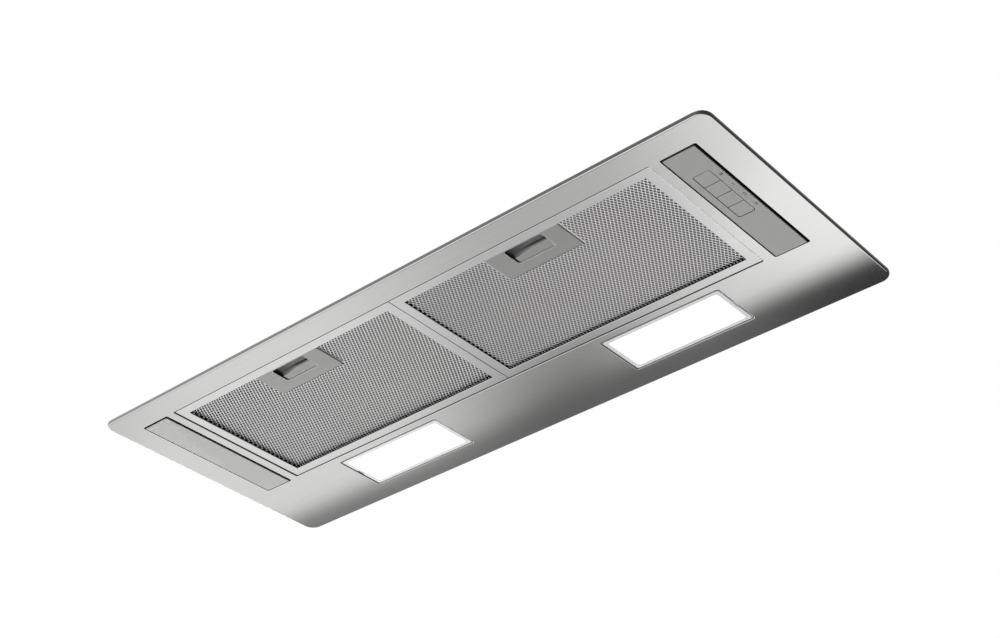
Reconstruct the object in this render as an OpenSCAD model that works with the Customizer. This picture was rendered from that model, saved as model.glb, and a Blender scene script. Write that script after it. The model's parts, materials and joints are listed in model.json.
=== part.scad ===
// Built-in range hood insert: a stainless face panel with two grease filters,
// two lamps and a push button strip, under a sheet metal body with the blower.
// X runs to the right, Y to the rear, Z up. The origin is the middle of the
// face, level with the lowest surface, which is the face of the two strips.

/* [Face panel] */
// Radius of the panel's corners
corner_r = 12; // [9:1:16]
// Thickness of the stainless sheet
sheet_t = 1; // [0.8:0.1:1.2]
// Height of the rim folded up round the panel
rim_h = 4; // [3.5:0.5:6]
// Outer radius of the rim's fold
bend_r = 1.6; // [1.5:0.1:2]
// Width of the rim's return, which seats on the cabinet
hem_w = 7; // [5:0.5:8]
// Height of the lips folded up round the filter opening
lip_h = 6; // [5:0.5:6.5]
// Strip of sheet in front of the filters
front_strip = 28.3; // [26:0.1:34]
// Strip of sheet between the filters and the plastic strips
side_strip = 11.4; // [10:0.1:16]
// Strip of sheet outside the plastic strips
end_strip = 29.2; // [26:0.1:36]
// Strip of sheet between the filters and the lamps
lamp_strip = 9.4; // [8.5:0.1:14]
// Strip of sheet behind the lamps
rear_strip = 27.6; // [25:0.1:34]

/* [Grease filters] */
// Width of one filter
filter_w = 285; // [250:1:320]
// Depth of one filter
filter_d = 164.6; // [150:0.2:190]
// Thickness of one filter
filter_t = 9; // [9:0.5:12]
// Running gap round each filter
filter_gap = 0.8; // [0.5:0.1:1]
// How far the filters sit above the face
filter_recess = 1.5; // [1:0.1:1.8]
// Width of the filter frame's border
frame_border = 10; // [9:0.5:12]
// Columns of openings in the filter's mesh
mesh_cols = 14; // [8:1:14]
// Rows of openings in the filter's mesh
mesh_rows = 5; // [3:1:5]

/* [Handle and latch] */
// Width of the handle plate
plate_w = 80; // [76:1:90]
// Depth of the handle plate
plate_d = 36.5; // [36:0.5:40]
// Width of the finger pocket
pocket_w = 41; // [36:1:46]
// Depth of the finger pocket
pocket_d = 19.5; // [18:0.5:21]
// Distance from the plate's front edge to the pocket
pocket_inset = 3.5; // [3:0.5:4]
// Travel of the latch
latch_travel = 5; // [4:0.5:5]
// Width of the latch's tongue
tongue_w = 26; // [20:1:34]

/* [Lamps] */
// Length of a lamp opening
lamp_w = 130.4; // [120:0.2:140]
// Depth of a lamp opening
lamp_d = 57.5; // [50:0.5:59]
// Distance from a filter's middle out to its lamp's middle
lamp_shift = 24.6; // [16:0.2:34]
// Gap round a lamp cover
lamp_gap = 0.7; // [0.5:0.1:1]
// Height of a lamp housing
lamp_h = 22; // [18:1:28]
// Light emitting diodes along a lamp board
led_cols = 6; // [3:1:8]

/* [Control strip] */
// Width of each plastic strip's opening
strip_w = 33.2; // [32:0.2:35]
// Length of each plastic strip's opening
strip_d = 167; // [140:1:180]
// How far the strips stand proud of the sheet
strip_proud = 0.8; // [0.5:0.1:1.2]
// Width of a push button
button_w = 15.8; // [14:0.2:16.4]
// Pitch of the push buttons
button_pitch = 16.8; // [15:0.2:18]
// Distance from the strip's front end to the first button
button_inset = 33.5; // [26:0.5:40]
// How far the buttons sit off the strip's middle, towards the filters
button_shift = 0.9; // [0:0.1:1.2]
// Travel of a push button
button_travel = 2; // [1:0.5:2.5]

/* [Body] */
// Height of the tray
tray_h = 68; // [60:1:80]
// Width of the motor box
box_w = 330; // [320:1:350]
// Depth of the motor box
box_d = 250; // [236:1:254]
// Height of the motor box
box_h = 107; // [104:1:120]
// Thickness of the galvanised sheet
plate_metal_t = 1; // [0.8:0.1:1.2]

/* [Blower] */
// Outer radius of the impeller
wheel_r = 58; // [52:1:58]
// Length of the impeller
wheel_w = 140; // [120:1:144]
// Number of impeller blades
blade_n = 36; // [24:2:42]
// Radius of the narrow part of the blower casing
scroll_r = 64; // [63:0.5:65]
// How much the casing widens each quarter turn
scroll_step = 6; // [5:0.5:6.5]
// Inner length of the blower casing
scroll_w = 159; // [156:1:162]
// Radius of the motor
motor_r = 38; // [34:1:40]
// Length of the motor
motor_w = 52; // [48:1:54]

/* [Duct] */
// Outer radius of the duct collar
duct_r = 75; // [74:0.5:76]
// Height of the duct collar
duct_h = 40; // [36:1:60]

/* [Hidden] */

$fn = 48;
// Extra length of a cut past the faces it opens
over = 1;
// Gap between pieces that move past each other
run_gap = 0.3;
// Radial gap of a pin in its bore
pin_gap = 0.06;

// Heights of the face, the sheet's back and the top of the opening's lips
face_z = strip_proud;
panel_z = face_z + sheet_t;
lip_z = face_z + lip_h;

// The filter opening, the panel round it and the two filters in it
open_w = 2 * filter_w + 3 * filter_gap;
open_d = filter_d + 2 * filter_gap;
face_w = open_w + 2 * (side_strip + strip_w + end_strip);
face_d = front_strip + open_d + lamp_strip + lamp_d + rear_strip;
open_front = -face_d / 2 + front_strip;
open_rear = open_front + open_d;
open_y = (open_front + open_rear) / 2;
filter_x = (filter_w + filter_gap) / 2;
filter_z = face_z + filter_recess;
frame_face_t = 2.5;
frame_back_t = 1;
frame_wall = 1.2;
frame_round = 0.6;
mesh_t = 0.8;
mesh_strand = 2.16;
tab_w = 24;
tab_t = 1.5;
tab_share = 0.3;
tab_hold = 1.6;
tab_reach = filter_gap + sheet_t + tab_hold;
tab_z = lip_z + run_gap - filter_z;

// The handle cup, measured from the front edge of its plate
cup_wall = 1.6;
cup_floor = 2;
cup_roof = 1.2;
cup_z = filter_z;
plate_y = open_front + filter_gap + frame_border;
latch_z = tab_z;
latch_t = 2.1;
latch_side = 1;
arm_w = 6;
bar_d = 2.6;
bar_front = cup_wall + run_gap;
pad_lead = 9;
spring_short = 3.4;
pad_back_d = plate_d - cup_wall - pocket_inset - pocket_d - latch_travel - spring_short;
pad_front = pocket_inset + pad_lead;
pad_rear = pocket_inset + pocket_d + pad_back_d;
pad_floor_z = cup_floor + run_gap;
arm_rear = pad_front + bar_d;
pad_steps = 8;
latch_top_z = latch_z + latch_t;
latch_half = plate_w / 2 - cup_wall - latch_side;
tongue_hold = 2.5;
tongue_reach = frame_border + filter_gap + sheet_t + tongue_hold;
slot_gap = run_gap;

// The spring behind the latch
spring_wire_r = 0.3;
spring_r = 1.6;
spring_curls = 4;
spring_rings = 8;
spring_sides = 6;
spring_y0 = pad_rear;
spring_y1 = plate_d - cup_wall;
spring_z = cup_floor + (latch_top_z - cup_floor) / 2 + run_gap / 2;

// The lamps
lamp_x = filter_x + lamp_shift;
lamp_y = open_rear + lamp_strip + lamp_d / 2;
lamp_corner_r = 2;
cover_z = face_z + run_gap;
cover_t = 2.2;
cover_wall = 1.5;
cover_wall_h = 7;
cover_half_w = lamp_w / 2 - lamp_gap;
cover_half_d = lamp_d / 2 - lamp_gap;
notch_w = 9;
notch_d = 1.6;
hook_w = 9;
hook_t = 1.6;
hook_hold = 2;
hook_reach = lamp_gap + hook_hold;
hook_share = 0.6;
hook_z = panel_z + run_gap;
clip_w = 12;
clip_reach = lamp_gap + run_gap;
lamp_wall = 1;
lamp_margin = 4;
lamp_margin_y = 3.4;
board_t = 1.6;
board_margin = 5;
led_size = 3.5;
led_t = 0.8;
led_rows = 2;

// The plastic strips
strip_x = open_w / 2 + side_strip + strip_w / 2;
strip_y = open_front + strip_d / 2;
strip_gap = 0.6;
strip_face_t = 2.2;
strip_round = 0.8;
strip_wall = 1.6;
strip_top_z = 7;
strip_corner_r = 1.5;
snap_w = 12;
snap_h = 2;
snap_hold = 1;
snap_reach = strip_gap + snap_hold;
snap_share = 0.3;
snap_gap = 0.1;

// The push buttons, in a slot to the inner side of the strip
button_n = 4;
button_x = strip_x - button_shift;
button_y0 = open_front + button_inset;
button_gap = 0.35;
button_z = 0.2;
button_face_t = 3;
button_corner_r = 2;
stem_r = 2.5;
stem_top_z = 13;
guide_z = strip_top_z;
guide_t = 2;
switch_top_z = 22;
switch_wall = 1.5;
switch_y_margin = 8;
switch_board_z = 18.4;
tact_w = 6;
tact_h = 2.4;
tact_r = 1.75;
tact_gap = 0.4;
tact_z = stem_top_z + button_travel + tact_gap;

// The tray, whose flanges clear the strips' snaps and the lamp housings
tray_flange = 8;
end_flange = 10;
strip_clear = 3.2;
lamp_clear = 1.7;
tray_w = face_w - 2 * (end_strip - snap_hold - strip_clear - end_flange - plate_metal_t);
tray_d = face_d - 2 * (rear_strip - lamp_margin_y - lamp_clear - tray_flange - plate_metal_t);
tray_top_z = panel_z + tray_h;
stud_r = 2;
stud_h = 7;
stud_gap = 0.2;
nut_r = 3.6;
nut_h = 2.4;
stud_x_shares = [-0.66, -0.24, 0.24, 0.66];
stud_end_share = 0.62;
seat_hole_r = 2.5;
seat_hole_rise = 13;
seat_hole_z = panel_z + seat_hole_rise;
seat_hole_x = 270;
clip_base_w = 20;
clip_base_h = 40;
clip_t = 1;
clip_bow = 4;
clip_share = 0.5;
clip_rise = 8;
clip_low_z = panel_z + clip_rise;

// The motor box
box_top_z = tray_top_z + box_h;
box_in_z = box_top_z - plate_metal_t;
box_flange = 8;
screw_r = 2;
screw_gap = 0.2;
screw_head_r = 3.6;
screw_head_h = 2.2;
screw_len = 5;
box_screw_share = 0.36;

// The blower casing, a volute of three quarter circles and a mouth
scroll_wall = 2.5;
mouth_in = 18;
quarter_1_r = scroll_r + scroll_step;
quarter_2_r = scroll_r + 2 * scroll_step;
mouth_out = scroll_r + 3 * scroll_step;
mouth_h = quarter_2_r;
mouth_mid = (mouth_in + mouth_out) / 2;
blower_z = box_in_z - mouth_h;
blower_y = -22;
duct_y = blower_y + mouth_mid;
scroll_half = scroll_w / 2;
scroll_out = scroll_half + scroll_wall;
inlet_r = 44;
inlet_lip = 5;
inlet_lip_t = 2;
mouth_flange = 13;
mouth_flange_y = 6;
mouth_flange_t = 2.5;
blower_screw_gap = 8;
blower_screw_x = scroll_out + blower_screw_gap;
blower_screw_y = 20;

// The impeller and the motor
wheel_ring = 11;
wheel_ring_t = 3;
wheel_disc_t = 2;
blade_t = 1.2;
blade_chord = 9.5;
blade_lean = 32;
blade_fit = 0.02;
hub_r = 12;
hub_w = 24;
shaft_r = 4;
shaft_gap = 0.06;
motor_x0 = 16;
motor_x1 = motor_x0 + motor_w;
motor_wall = 2;
bearing_r = 9;
bearing_w = 6;
rotor_r = 22;
rotor_gap = 0.6;
stator_w = 24;
winding_w = 6;
winding_t = 7;
shaft_stub = 2;
shaft_x0 = -hub_w / 2 - shaft_stub;
shaft_x1 = motor_x1 - motor_wall;
bush_r = 4;
bush_w = 3;
bush_pcd_r = 24;
bush_n = 3;
bracket_disc_r = 30;
bracket_t = 2.5;
bracket_x1 = scroll_out;
bracket_arm_w = 9;
bracket_ring_r = 54;
bracket_foot_r = 7;

// The duct collar and its two flaps
duct_wall = 1.5;
collar_flange = 12;
collar_flange_t = 1.5;
flap_rise = 12;
flap_z = box_top_z + flap_rise;
flap_t = 1.5;
flap_gap = 1;
flap_r = duct_r - duct_wall - flap_gap;
pin_r = 1.5;
pin_inset = 0.3;
pin_fit = 0.02;
knuckle_r = 3;
knuckle_w = 10;
knuckle_x = 46;
knuckle_step = 8;
flap_edge = knuckle_r + 2 * run_gap;
stop_w = 3;
stop_t = 2;
collar_screw_gap = 6.5;
collar_screw_r = duct_r + collar_screw_gap;
collar_screw_n = 4;

// The electrical parts on the tray and in the box
term_w = 74;
term_d = 60;
term_h = 28;
term_wall = 2;
term_lid_t = 2.5;
term_offset = 62;
term_x = box_w / 2 + term_offset;
term_screw_inset = 7;
gland_r = 9;
gland_l = 16;
gland_nut_r = 12;
gland_nut_l = 5;
cord_r = 3.7;
cap_r = 15;
cap_l = 62;
cap_stand = 0.7;
cap_drop = 50;
cap_z = box_in_z - cap_drop;
cap_clip_t = 1.5;
cap_x = -box_w / 2 + plate_metal_t + cap_clip_t + cap_stand + cap_r;
cap_clip_w = 18;
cap_foot_w = 24;
loom_r = 2.5;
loom_knot_r = 3.8;
loom_hole_r = 5;
loom_z = tray_top_z - plate_metal_t - loom_knot_r;
loom_lead = 24;
loom_y = lamp_y + loom_lead;
loom_gap = 10;
loom_x = scroll_out + loom_gap;
block_poles = 5;
block_pitch = 9;
block_w = 18;
block_h = 14;
block_offset = 16;
driver_w = 112;
driver_d = 42;
driver_h = 24;
driver_gap = 12.5;
driver_x = -lamp_x - driver_gap - driver_w / 2;
driver_y = 60;

// A block centred on X and Y that stands on z = 0
module block(w, d, h) {
    translate([-w / 2, -d / 2, 0]) cube([w, d, h]);
}

// A flat rectangle with round corners
module round_rect(w, d, r) {
    square([w - 2 * r, d], center = true);
    square([w, d - 2 * r], center = true);
    for (sx = [-1, 1], sy = [-1, 1])
        translate([sx * (w / 2 - r), sy * (d / 2 - r)]) circle(r);
}

// A slab with round corners
module round_slab(w, d, h, r) {
    linear_extrude(h) round_rect(w, d, r);
}

// Turns a shape that stands along Z so that it lies along X
module along_x() {
    rotate([0, 90, 0]) children();
}

// Turns a flat YZ outline, drawn as XY, so that it is extruded along X
module yz_plate(x0, w) {
    translate([x0, 0, 0]) rotate([90, 0, 90]) linear_extrude(w) children();
}

// The folded rim in section: across is outwards, up is up
module rim_section() {
    translate([-bend_r, bend_r]) intersection() {
        difference() {
            circle(bend_r);
            circle(bend_r - sheet_t);
        }
        translate([0, -bend_r]) square([bend_r, bend_r]);
    }
    translate([-sheet_t, bend_r]) square([sheet_t, rim_h - bend_r]);
    translate([-hem_w, rim_h - sheet_t]) square([hem_w, sheet_t]);
}

module rim_side(l) {
    rotate([90, 0, 0]) linear_extrude(l, center = true) rim_section();
}

module rim() {
    for (s = [-1, 1]) {
        translate([s * face_w / 2, 0, 0]) rotate([0, 0, s > 0 ? 0 : 180]) rim_side(face_d - 2 * corner_r);
        translate([0, s * face_d / 2, 0]) rotate([0, 0, s * 90]) rim_side(face_w - 2 * corner_r);
    }
    for (k = [0:3]) {
        sx = (k == 0 || k == 3) ? 1 : -1;
        sy = k < 2 ? 1 : -1;
        translate([sx * (face_w / 2 - corner_r), sy * (face_d / 2 - corner_r), 0])
            rotate([0, 0, 90 * k]) rotate_extrude(angle = 90) translate([corner_r, 0]) rim_section();
    }
}

module face_panel() {
    color("silver") translate([0, 0, face_z]) difference() {
        union() {
            round_slab(face_w - 2 * bend_r, face_d - 2 * bend_r, sheet_t, corner_r - bend_r);
            rim();
            translate([0, open_y, 0]) block(open_w + 2 * sheet_t, open_d + 2 * sheet_t, lip_h);
        }
        translate([0, open_y, -over]) block(open_w, open_d, lip_h + 2 * over);
        for (s = [-1, 1]) {
            translate([s * strip_x, strip_y, -over])
                round_slab(strip_w, strip_d, sheet_t + 2 * over, strip_corner_r);
            translate([s * lamp_x, lamp_y, -over])
                round_slab(lamp_w, lamp_d, sheet_t + 2 * over, lamp_corner_r);
        }
    }
}

// The plastic strip that snaps into the sheet, without its button slot
module strip_shell() {
    w = strip_w - 2 * strip_gap;
    d = strip_d - 2 * strip_gap;
    difference() {
        union() {
            round_slab(w - 2 * strip_round, d - 2 * strip_round, strip_top_z, strip_corner_r);
            translate([0, 0, strip_round]) round_slab(w, d, strip_top_z - strip_round, strip_corner_r);
        }
        translate([0, 0, strip_face_t])
            block(w - 2 * strip_wall, d - 2 * strip_wall, strip_top_z);
    }
    for (s = [-1, 1], t = [-1, 1])
        translate([s * (w / 2 - strip_wall), t * snap_share * d - snap_w / 2, panel_z + snap_gap])
            mirror([s > 0 ? 0 : 1, 0, 0]) cube([strip_wall + snap_reach, snap_w, snap_h]);
}

function button_y(i) = button_y0 + (i + 1 / 2) * button_pitch;

module control_strip() {
    slot_d = button_n * button_pitch;
    color("darkgray") difference() {
        translate([strip_x, strip_y, 0]) strip_shell();
        translate([button_x, button_y0 + slot_d / 2, -over])
            round_slab(button_w + 2 * button_gap, slot_d + button_gap, strip_face_t + 2 * over,
                button_corner_r);
    }
}

module blank_strip() {
    color("darkgray") translate([-strip_x, strip_y, 0]) strip_shell();
}

// A push button's cap and stem; the outer corners of the end buttons are round
module push_button(i) {
    cap_d = button_pitch - button_gap;
    first = i == 0;
    last = i == button_n - 1;
    color("gray") translate([button_x, button_y(i), button_z]) {
        linear_extrude(button_face_t) difference() {
            square([button_w, cap_d], center = true);
            for (s = [-1, 1]) {
                if (first) corner_cut(s, -1, cap_d);
                if (last) corner_cut(s, 1, cap_d);
            }
        }
        cylinder(r = stem_r, h = stem_top_z - button_z);
    }
}

// What a round corner takes off a button's cap
module corner_cut(sx, sy, cap_d) {
    r = button_corner_r;
    translate([sx * (button_w / 2 - r), sy * (cap_d / 2 - r)]) difference() {
        translate([sx > 0 ? 0 : -over - r, sy > 0 ? 0 : -over - r]) square(r + over);
        circle(r);
    }
}

module button_light() {
    push_button(0);
}

module button_speed_1() {
    push_button(1);
}

module button_speed_2() {
    push_button(2);
}

module button_speed_3() {
    push_button(3);
}

switch_w = strip_w - 2 * strip_gap;
switch_d = button_n * button_pitch + 2 * switch_y_margin;
switch_y = button_y0 + button_n * button_pitch / 2;

module switch_housing() {
    color("ivory") difference() {
        translate([strip_x, switch_y, guide_z]) block(switch_w, switch_d, switch_top_z - guide_z);
        translate([strip_x, switch_y, guide_z + guide_t])
            block(switch_w - 2 * switch_wall, switch_d - 2 * switch_wall, switch_top_z - guide_z);
        for (i = [0:button_n - 1])
            translate([button_x, button_y(i), guide_z - over])
                cylinder(r = stem_r + pin_gap, h = guide_t + 2 * over);
    }
}

module switch_board() {
    color("green") {
        translate([strip_x, switch_y, switch_board_z])
            block(switch_w - 2 * switch_wall - run_gap, switch_d - 2 * switch_wall - run_gap, board_t);
        for (i = [0:button_n - 1]) translate([button_x, button_y(i), switch_board_z]) {
            translate([0, 0, -tact_h]) block(tact_w, tact_w, tact_h);
            translate([0, 0, tact_z - switch_board_z])
                cylinder(r = tact_r, h = switch_board_z - tact_h - tact_z);
        }
        for (s = [-1, 1])
            translate([strip_x, switch_y + s * (switch_d / 2 - switch_y_margin / 2), guide_z + guide_t])
                cylinder(r = stem_r, h = switch_board_z - guide_z - guide_t);
    }
}

module switch_screws() {
    color("silver") for (s = [-1, 1])
        translate([strip_x, switch_y + s * (switch_d / 2 - switch_y_margin / 2), switch_board_z + board_t])
            cylinder(r = stem_r, h = screw_head_h);
}

// Places a filter's piece, whose own origin is the middle of its lowest face
module at_filter(side) {
    translate([side * filter_x, open_y, filter_z]) children();
}

module filter_frame(side) {
    color("gainsboro") at_filter(side) {
        difference() {
            union() {
                block(filter_w - 2 * frame_round, filter_d - 2 * frame_round, filter_t);
                translate([0, 0, frame_round]) block(filter_w, filter_d, filter_t - frame_round);
            }
            translate([0, 0, -over])
                block(filter_w - 2 * frame_border, filter_d - 2 * frame_border, filter_t + 2 * over);
            translate([0, 0, frame_face_t])
                block(filter_w - 2 * frame_wall, filter_d - 2 * frame_wall,
                    filter_t - frame_face_t - frame_back_t);
            translate([0, -filter_d / 2 - over, latch_z - slot_gap])
                block(tongue_w + 2 * slot_gap, 2 * (frame_wall + 2 * over), latch_t + 2 * slot_gap);
        }
        for (s = [-1, 1])
            translate([s * tab_share * filter_w - tab_w / 2, filter_d / 2 - frame_wall, tab_z])
                cube([tab_w, frame_wall + tab_reach, tab_t]);
    }
}

// What the handle cup takes out of the mesh and the core
module handle_room() {
    room_d = frame_border + plate_d + run_gap;
    translate([0, -filter_d / 2 + room_d / 2, -over])
        block(plate_w + 2 * run_gap, room_d, filter_t + 2 * over);
}

module diamond(w, d) {
    polygon([[w / 2, 0], [0, d / 2], [-w / 2, 0], [0, -d / 2]]);
}

module filter_mesh(side) {
    area_w = filter_w - 2 * frame_border;
    area_d = filter_d - 2 * frame_border;
    cell_w = area_w / mesh_cols;
    cell_d = area_d / mesh_rows;
    hole_w = cell_w - mesh_strand;
    hole_d = cell_d * hole_w / cell_w;
    color("gray") at_filter(side) translate([0, 0, frame_face_t]) difference() {
        block(filter_w - 2 * frame_wall - run_gap, filter_d - 2 * frame_wall - run_gap, mesh_t);
        handle_room();
        translate([0, 0, -over]) linear_extrude(mesh_t + 2 * over) {
            for (i = [0:mesh_cols - 1], j = [0:mesh_rows - 1])
                translate([(i + 1 / 2) * cell_w - area_w / 2, (j + 1 / 2) * cell_d - area_d / 2])
                    diamond(hole_w, hole_d);
            for (i = [1:mesh_cols - 1], j = [1:mesh_rows - 1])
                translate([i * cell_w - area_w / 2, j * cell_d - area_d / 2]) diamond(hole_w, hole_d);
        }
    }
}

module filter_core(side) {
    core_z = frame_face_t + mesh_t;
    color("dimgray") at_filter(side) translate([0, 0, core_z]) difference() {
        block(filter_w - 2 * frame_wall - run_gap, filter_d - 2 * frame_wall - run_gap,
            filter_t - frame_back_t - core_z);
        translate([0, 0, -core_z]) handle_room();
    }
}

// Places a handle's piece: its own origin is the middle of the plate's front edge
module at_handle(side) {
    translate([side * filter_x, plate_y, cup_z]) children();
}

module filter_handle(side) {
    color("darkgray") at_handle(side) difference() {
        translate([0, plate_d / 2, 0]) block(plate_w, plate_d, filter_t);
        translate([0, plate_d / 2, cup_floor])
            block(plate_w - 2 * cup_wall, plate_d - 2 * cup_wall, filter_t - cup_floor - cup_roof);
        translate([0, pocket_inset + pocket_d / 2, -over])
            round_slab(pocket_w, pocket_d, cup_floor + 2 * over, pocket_inset);
        translate([0, 0, latch_z - slot_gap])
            block(tongue_w + 2 * slot_gap, 2 * (cup_wall + over), latch_t + 2 * slot_gap);
    }
}

// The latch's scoop in section, a hollow curve from high at the front to low at the rear
function scoop_points() = [
    for (i = [0:pad_steps])
        let (a = 90 * i / pad_steps)
        [pad_rear - pad_back_d - (pad_rear - pad_back_d - pad_front) * cos(a),
         latch_z + (pad_floor_z - latch_z) * (1 - cos(a))]
];

module filter_latch(side) {
    color("gray") at_handle(side) {
        yz_plate(-latch_half, 2 * latch_half)
            polygon(concat([[pad_front, latch_top_z]], scoop_points(),
                [[pad_rear, pad_floor_z], [pad_rear, latch_top_z]]));
        for (s = [-1, 1])
            translate([s * (latch_half - arm_w / 2), (bar_front + arm_rear) / 2, latch_z])
                block(arm_w, arm_rear - bar_front, latch_t);
        translate([0, bar_front + bar_d / 2, latch_z]) block(2 * latch_half, bar_d, latch_t);
        translate([0, (bar_front + bar_d - tongue_reach) / 2, latch_z])
            block(tongue_w, tongue_reach + bar_front + bar_d, latch_t);
    }
}

// Points of the spring's wire: rings of spring_sides points along a helix on Y
function spring_mid(t) = [
    spring_r * cos(360 * spring_curls * t),
    spring_y0 + spring_wire_r + (spring_y1 - spring_y0 - 2 * spring_wire_r) * t,
    spring_r * sin(360 * spring_curls * t)
];
spring_count = spring_curls * spring_rings;
spring_points = [
    for (i = [0:spring_count])
        let (t = i / spring_count, a = 360 * spring_curls * t, p = spring_mid(t))
        for (j = [0:spring_sides - 1])
            let (b = 360 * j / spring_sides, c = spring_wire_r * cos(b))
            [p[0] + c * cos(a), p[1] + spring_wire_r * sin(b), p[2] + c * sin(a)]
];
spring_faces = concat(
    [for (j = [1:spring_sides - 2]) [0, j, j + 1]],
    [for (j = [1:spring_sides - 2])
        let (e = spring_count * spring_sides)
        [e, e + j + 1, e + j]],
    [for (i = [0:spring_count - 1], j = [0:spring_sides - 1])
        let (a = i * spring_sides + j, b = i * spring_sides + (j + 1) % spring_sides)
        [a, a + spring_sides, b]],
    [for (i = [0:spring_count - 1], j = [0:spring_sides - 1])
        let (a = i * spring_sides + j, b = i * spring_sides + (j + 1) % spring_sides)
        [b, a + spring_sides, b + spring_sides]]
);
spring_self_gap = min([
    for (k = [0:spring_rings - 1])
        norm(spring_mid((k + spring_rings) / spring_count) - spring_mid(k / spring_count))
]) - 2 * spring_wire_r;
echo(spring_self_gap = spring_self_gap);

module latch_spring(side) {
    color("silver") at_handle(side) translate([0, 0, spring_z])
        polyhedron(points = spring_points, faces = spring_faces);
}

// Places a lamp's piece so that +X points to the outer end of its opening
module at_lamp(side) {
    translate([side * lamp_x, lamp_y, 0]) mirror([side > 0 ? 0 : 1, 0, 0]) children();
}

module lamp_cover(side) {
    color("white") at_lamp(side) {
        difference() {
            translate([0, 0, cover_z])
                round_slab(2 * cover_half_w, 2 * cover_half_d, cover_wall_h, lamp_corner_r);
            translate([0, 0, cover_z + cover_t])
                block(2 * (cover_half_w - cover_wall), 2 * (cover_half_d - cover_wall), cover_wall_h);
            translate([cover_half_w, 0, cover_z - over])
                block(2 * notch_d, notch_w, cover_t - cover_wall / 2 + over);
        }
        for (s = [-1, 1])
            translate([-cover_half_w - hook_reach, s * hook_share * cover_half_d - hook_w / 2, hook_z])
                cube([hook_reach + cover_wall, hook_w, hook_t]);
        translate([cover_half_w - cover_wall, -clip_w / 2, hook_z])
            cube([cover_wall + clip_reach, clip_w, hook_t]);
    }
}

module lamp_housing(side) {
    w = lamp_w + 2 * lamp_margin;
    d = lamp_d + 2 * lamp_margin_y;
    color("silver") at_lamp(side) translate([0, 0, panel_z]) difference() {
        block(w, d, lamp_h);
        translate([0, 0, -over]) block(w - 2 * lamp_wall, d - 2 * lamp_wall, lamp_h - lamp_wall + over);
    }
}

module led_board(side) {
    w = lamp_w - 2 * board_margin;
    d = lamp_d - 2 * board_margin;
    top = panel_z + lamp_h - lamp_wall;
    color("ivory") at_lamp(side) {
        translate([0, 0, top - board_t]) block(w, d, board_t);
        for (i = [0:led_cols - 1], j = [0:led_rows - 1])
            translate([(i + 1 / 2) * w / led_cols - w / 2, (j + 1 / 2) * d / led_rows - d / 2,
                top - board_t - led_t])
                block(led_size, led_size, led_t);
    }
}

module led_driver() {
    color("ivory") translate([driver_x, driver_y, tray_top_z - plate_metal_t - driver_h])
        block(driver_w, driver_d, driver_h);
}

// Places of the weld studs that hold the tray down on the panel
stud_places = concat(
    [for (s = stud_x_shares, t = [-1, 1])
        [s * tray_w / 2, t * (tray_d / 2 - plate_metal_t - tray_flange / 2)]],
    [for (s = [-1, 1], t = [-1, 1])
        [s * (tray_w / 2 - plate_metal_t - tray_flange / 2), t * stud_end_share * tray_d / 2]]
);

module panel_studs() {
    color("silver") for (p = stud_places) translate([p[0], p[1], panel_z]) cylinder(r = stud_r, h = stud_h);
}

module stud_nuts() {
    color("silver") for (p = stud_places) translate([p[0], p[1], panel_z + plate_metal_t]) difference() {
        cylinder(r = nut_r, h = nut_h, $fn = 6);
        translate([0, 0, -over]) cylinder(r = stud_r, h = nut_h + 2 * over);
    }
}

module stud_holes() {
    for (p = stud_places) translate([p[0], p[1], panel_z - over])
        cylinder(r = stud_r + stud_gap, h = plate_metal_t + 2 * over);
}

// Places of the screws that hold the motor box on the tray
box_screw_places = concat(
    [for (s = [-1, 0, 1], t = [-1, 1])
        [s * box_screw_share * box_w, t * (box_d / 2 - plate_metal_t - box_flange / 2)]],
    [for (s = [-1, 1], t = [-1, 1])
        [s * (box_w / 2 - plate_metal_t - box_flange / 2), t * box_screw_share * box_d]]
);

module tray_shell() {
    t = plate_metal_t;
    w = tray_w - 2 * t;
    color("lightgray") difference() {
        translate([0, 0, panel_z]) block(w, tray_d, tray_h);
        translate([0, 0, panel_z + t]) block(w + 2 * over, tray_d - 2 * t, tray_h - 2 * t);
        translate([0, 0, panel_z - over]) block(w + 2 * over, tray_d - 2 * (t + tray_flange), t + 2 * over);
        translate([0, 0, tray_top_z - t - over])
            block(box_w - 2 * (t + box_flange), box_d - 2 * (t + box_flange), t + 2 * over);
        stud_holes();
        translate([term_x, 0, tray_top_z - t - over]) cylinder(r = loom_hole_r, h = t + 2 * over);
        for (p = box_screw_places) translate([p[0], p[1], tray_top_z - t - over])
            cylinder(r = screw_r + screw_gap, h = t + 2 * over);
        for (s = [-1, 1]) translate([s * seat_hole_x, 0, seat_hole_z]) rotate([90, 0, 0])
            cylinder(r = seat_hole_r, h = tray_d + 2 * over, center = true);
    }
}

module tray_end(side) {
    t = plate_metal_t;
    d = tray_d - 2 * t;
    h = tray_h - 2 * t;
    color("lightgray") difference() {
        union() {
            translate([side * (tray_w / 2 - t / 2), 0, panel_z]) block(t, tray_d, tray_h);
            for (s = [-1, 1])
                translate([side * (tray_w / 2 - t - end_flange / 2), s * (d / 2 - t / 2), panel_z + t])
                    block(end_flange, t, h);
            translate([side * (tray_w / 2 - t - tray_flange / 2), 0, panel_z])
                block(tray_flange, tray_d - 2 * (t + tray_flange), t);
        }
        stud_holes();
    }
}

// Spring clips that grip the sides of the cabinet's cut-out
module side_clips() {
    mid_z = clip_low_z + clip_base_h / 2;
    color("silver") for (s = [-1, 1], t = [-1, 1])
        translate([s * tray_w / 2, t * clip_share * tray_d / 2 - clip_base_w / 2, 0])
            mirror([s > 0 ? 0 : 1, 0, 0]) {
                translate([0, 0, clip_low_z]) cube([clip_t, clip_base_w, clip_base_h]);
                translate([0, 0, mid_z]) rotate([-90, 0, 0]) linear_extrude(clip_base_w) clip_bow_section();
            }
}

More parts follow.
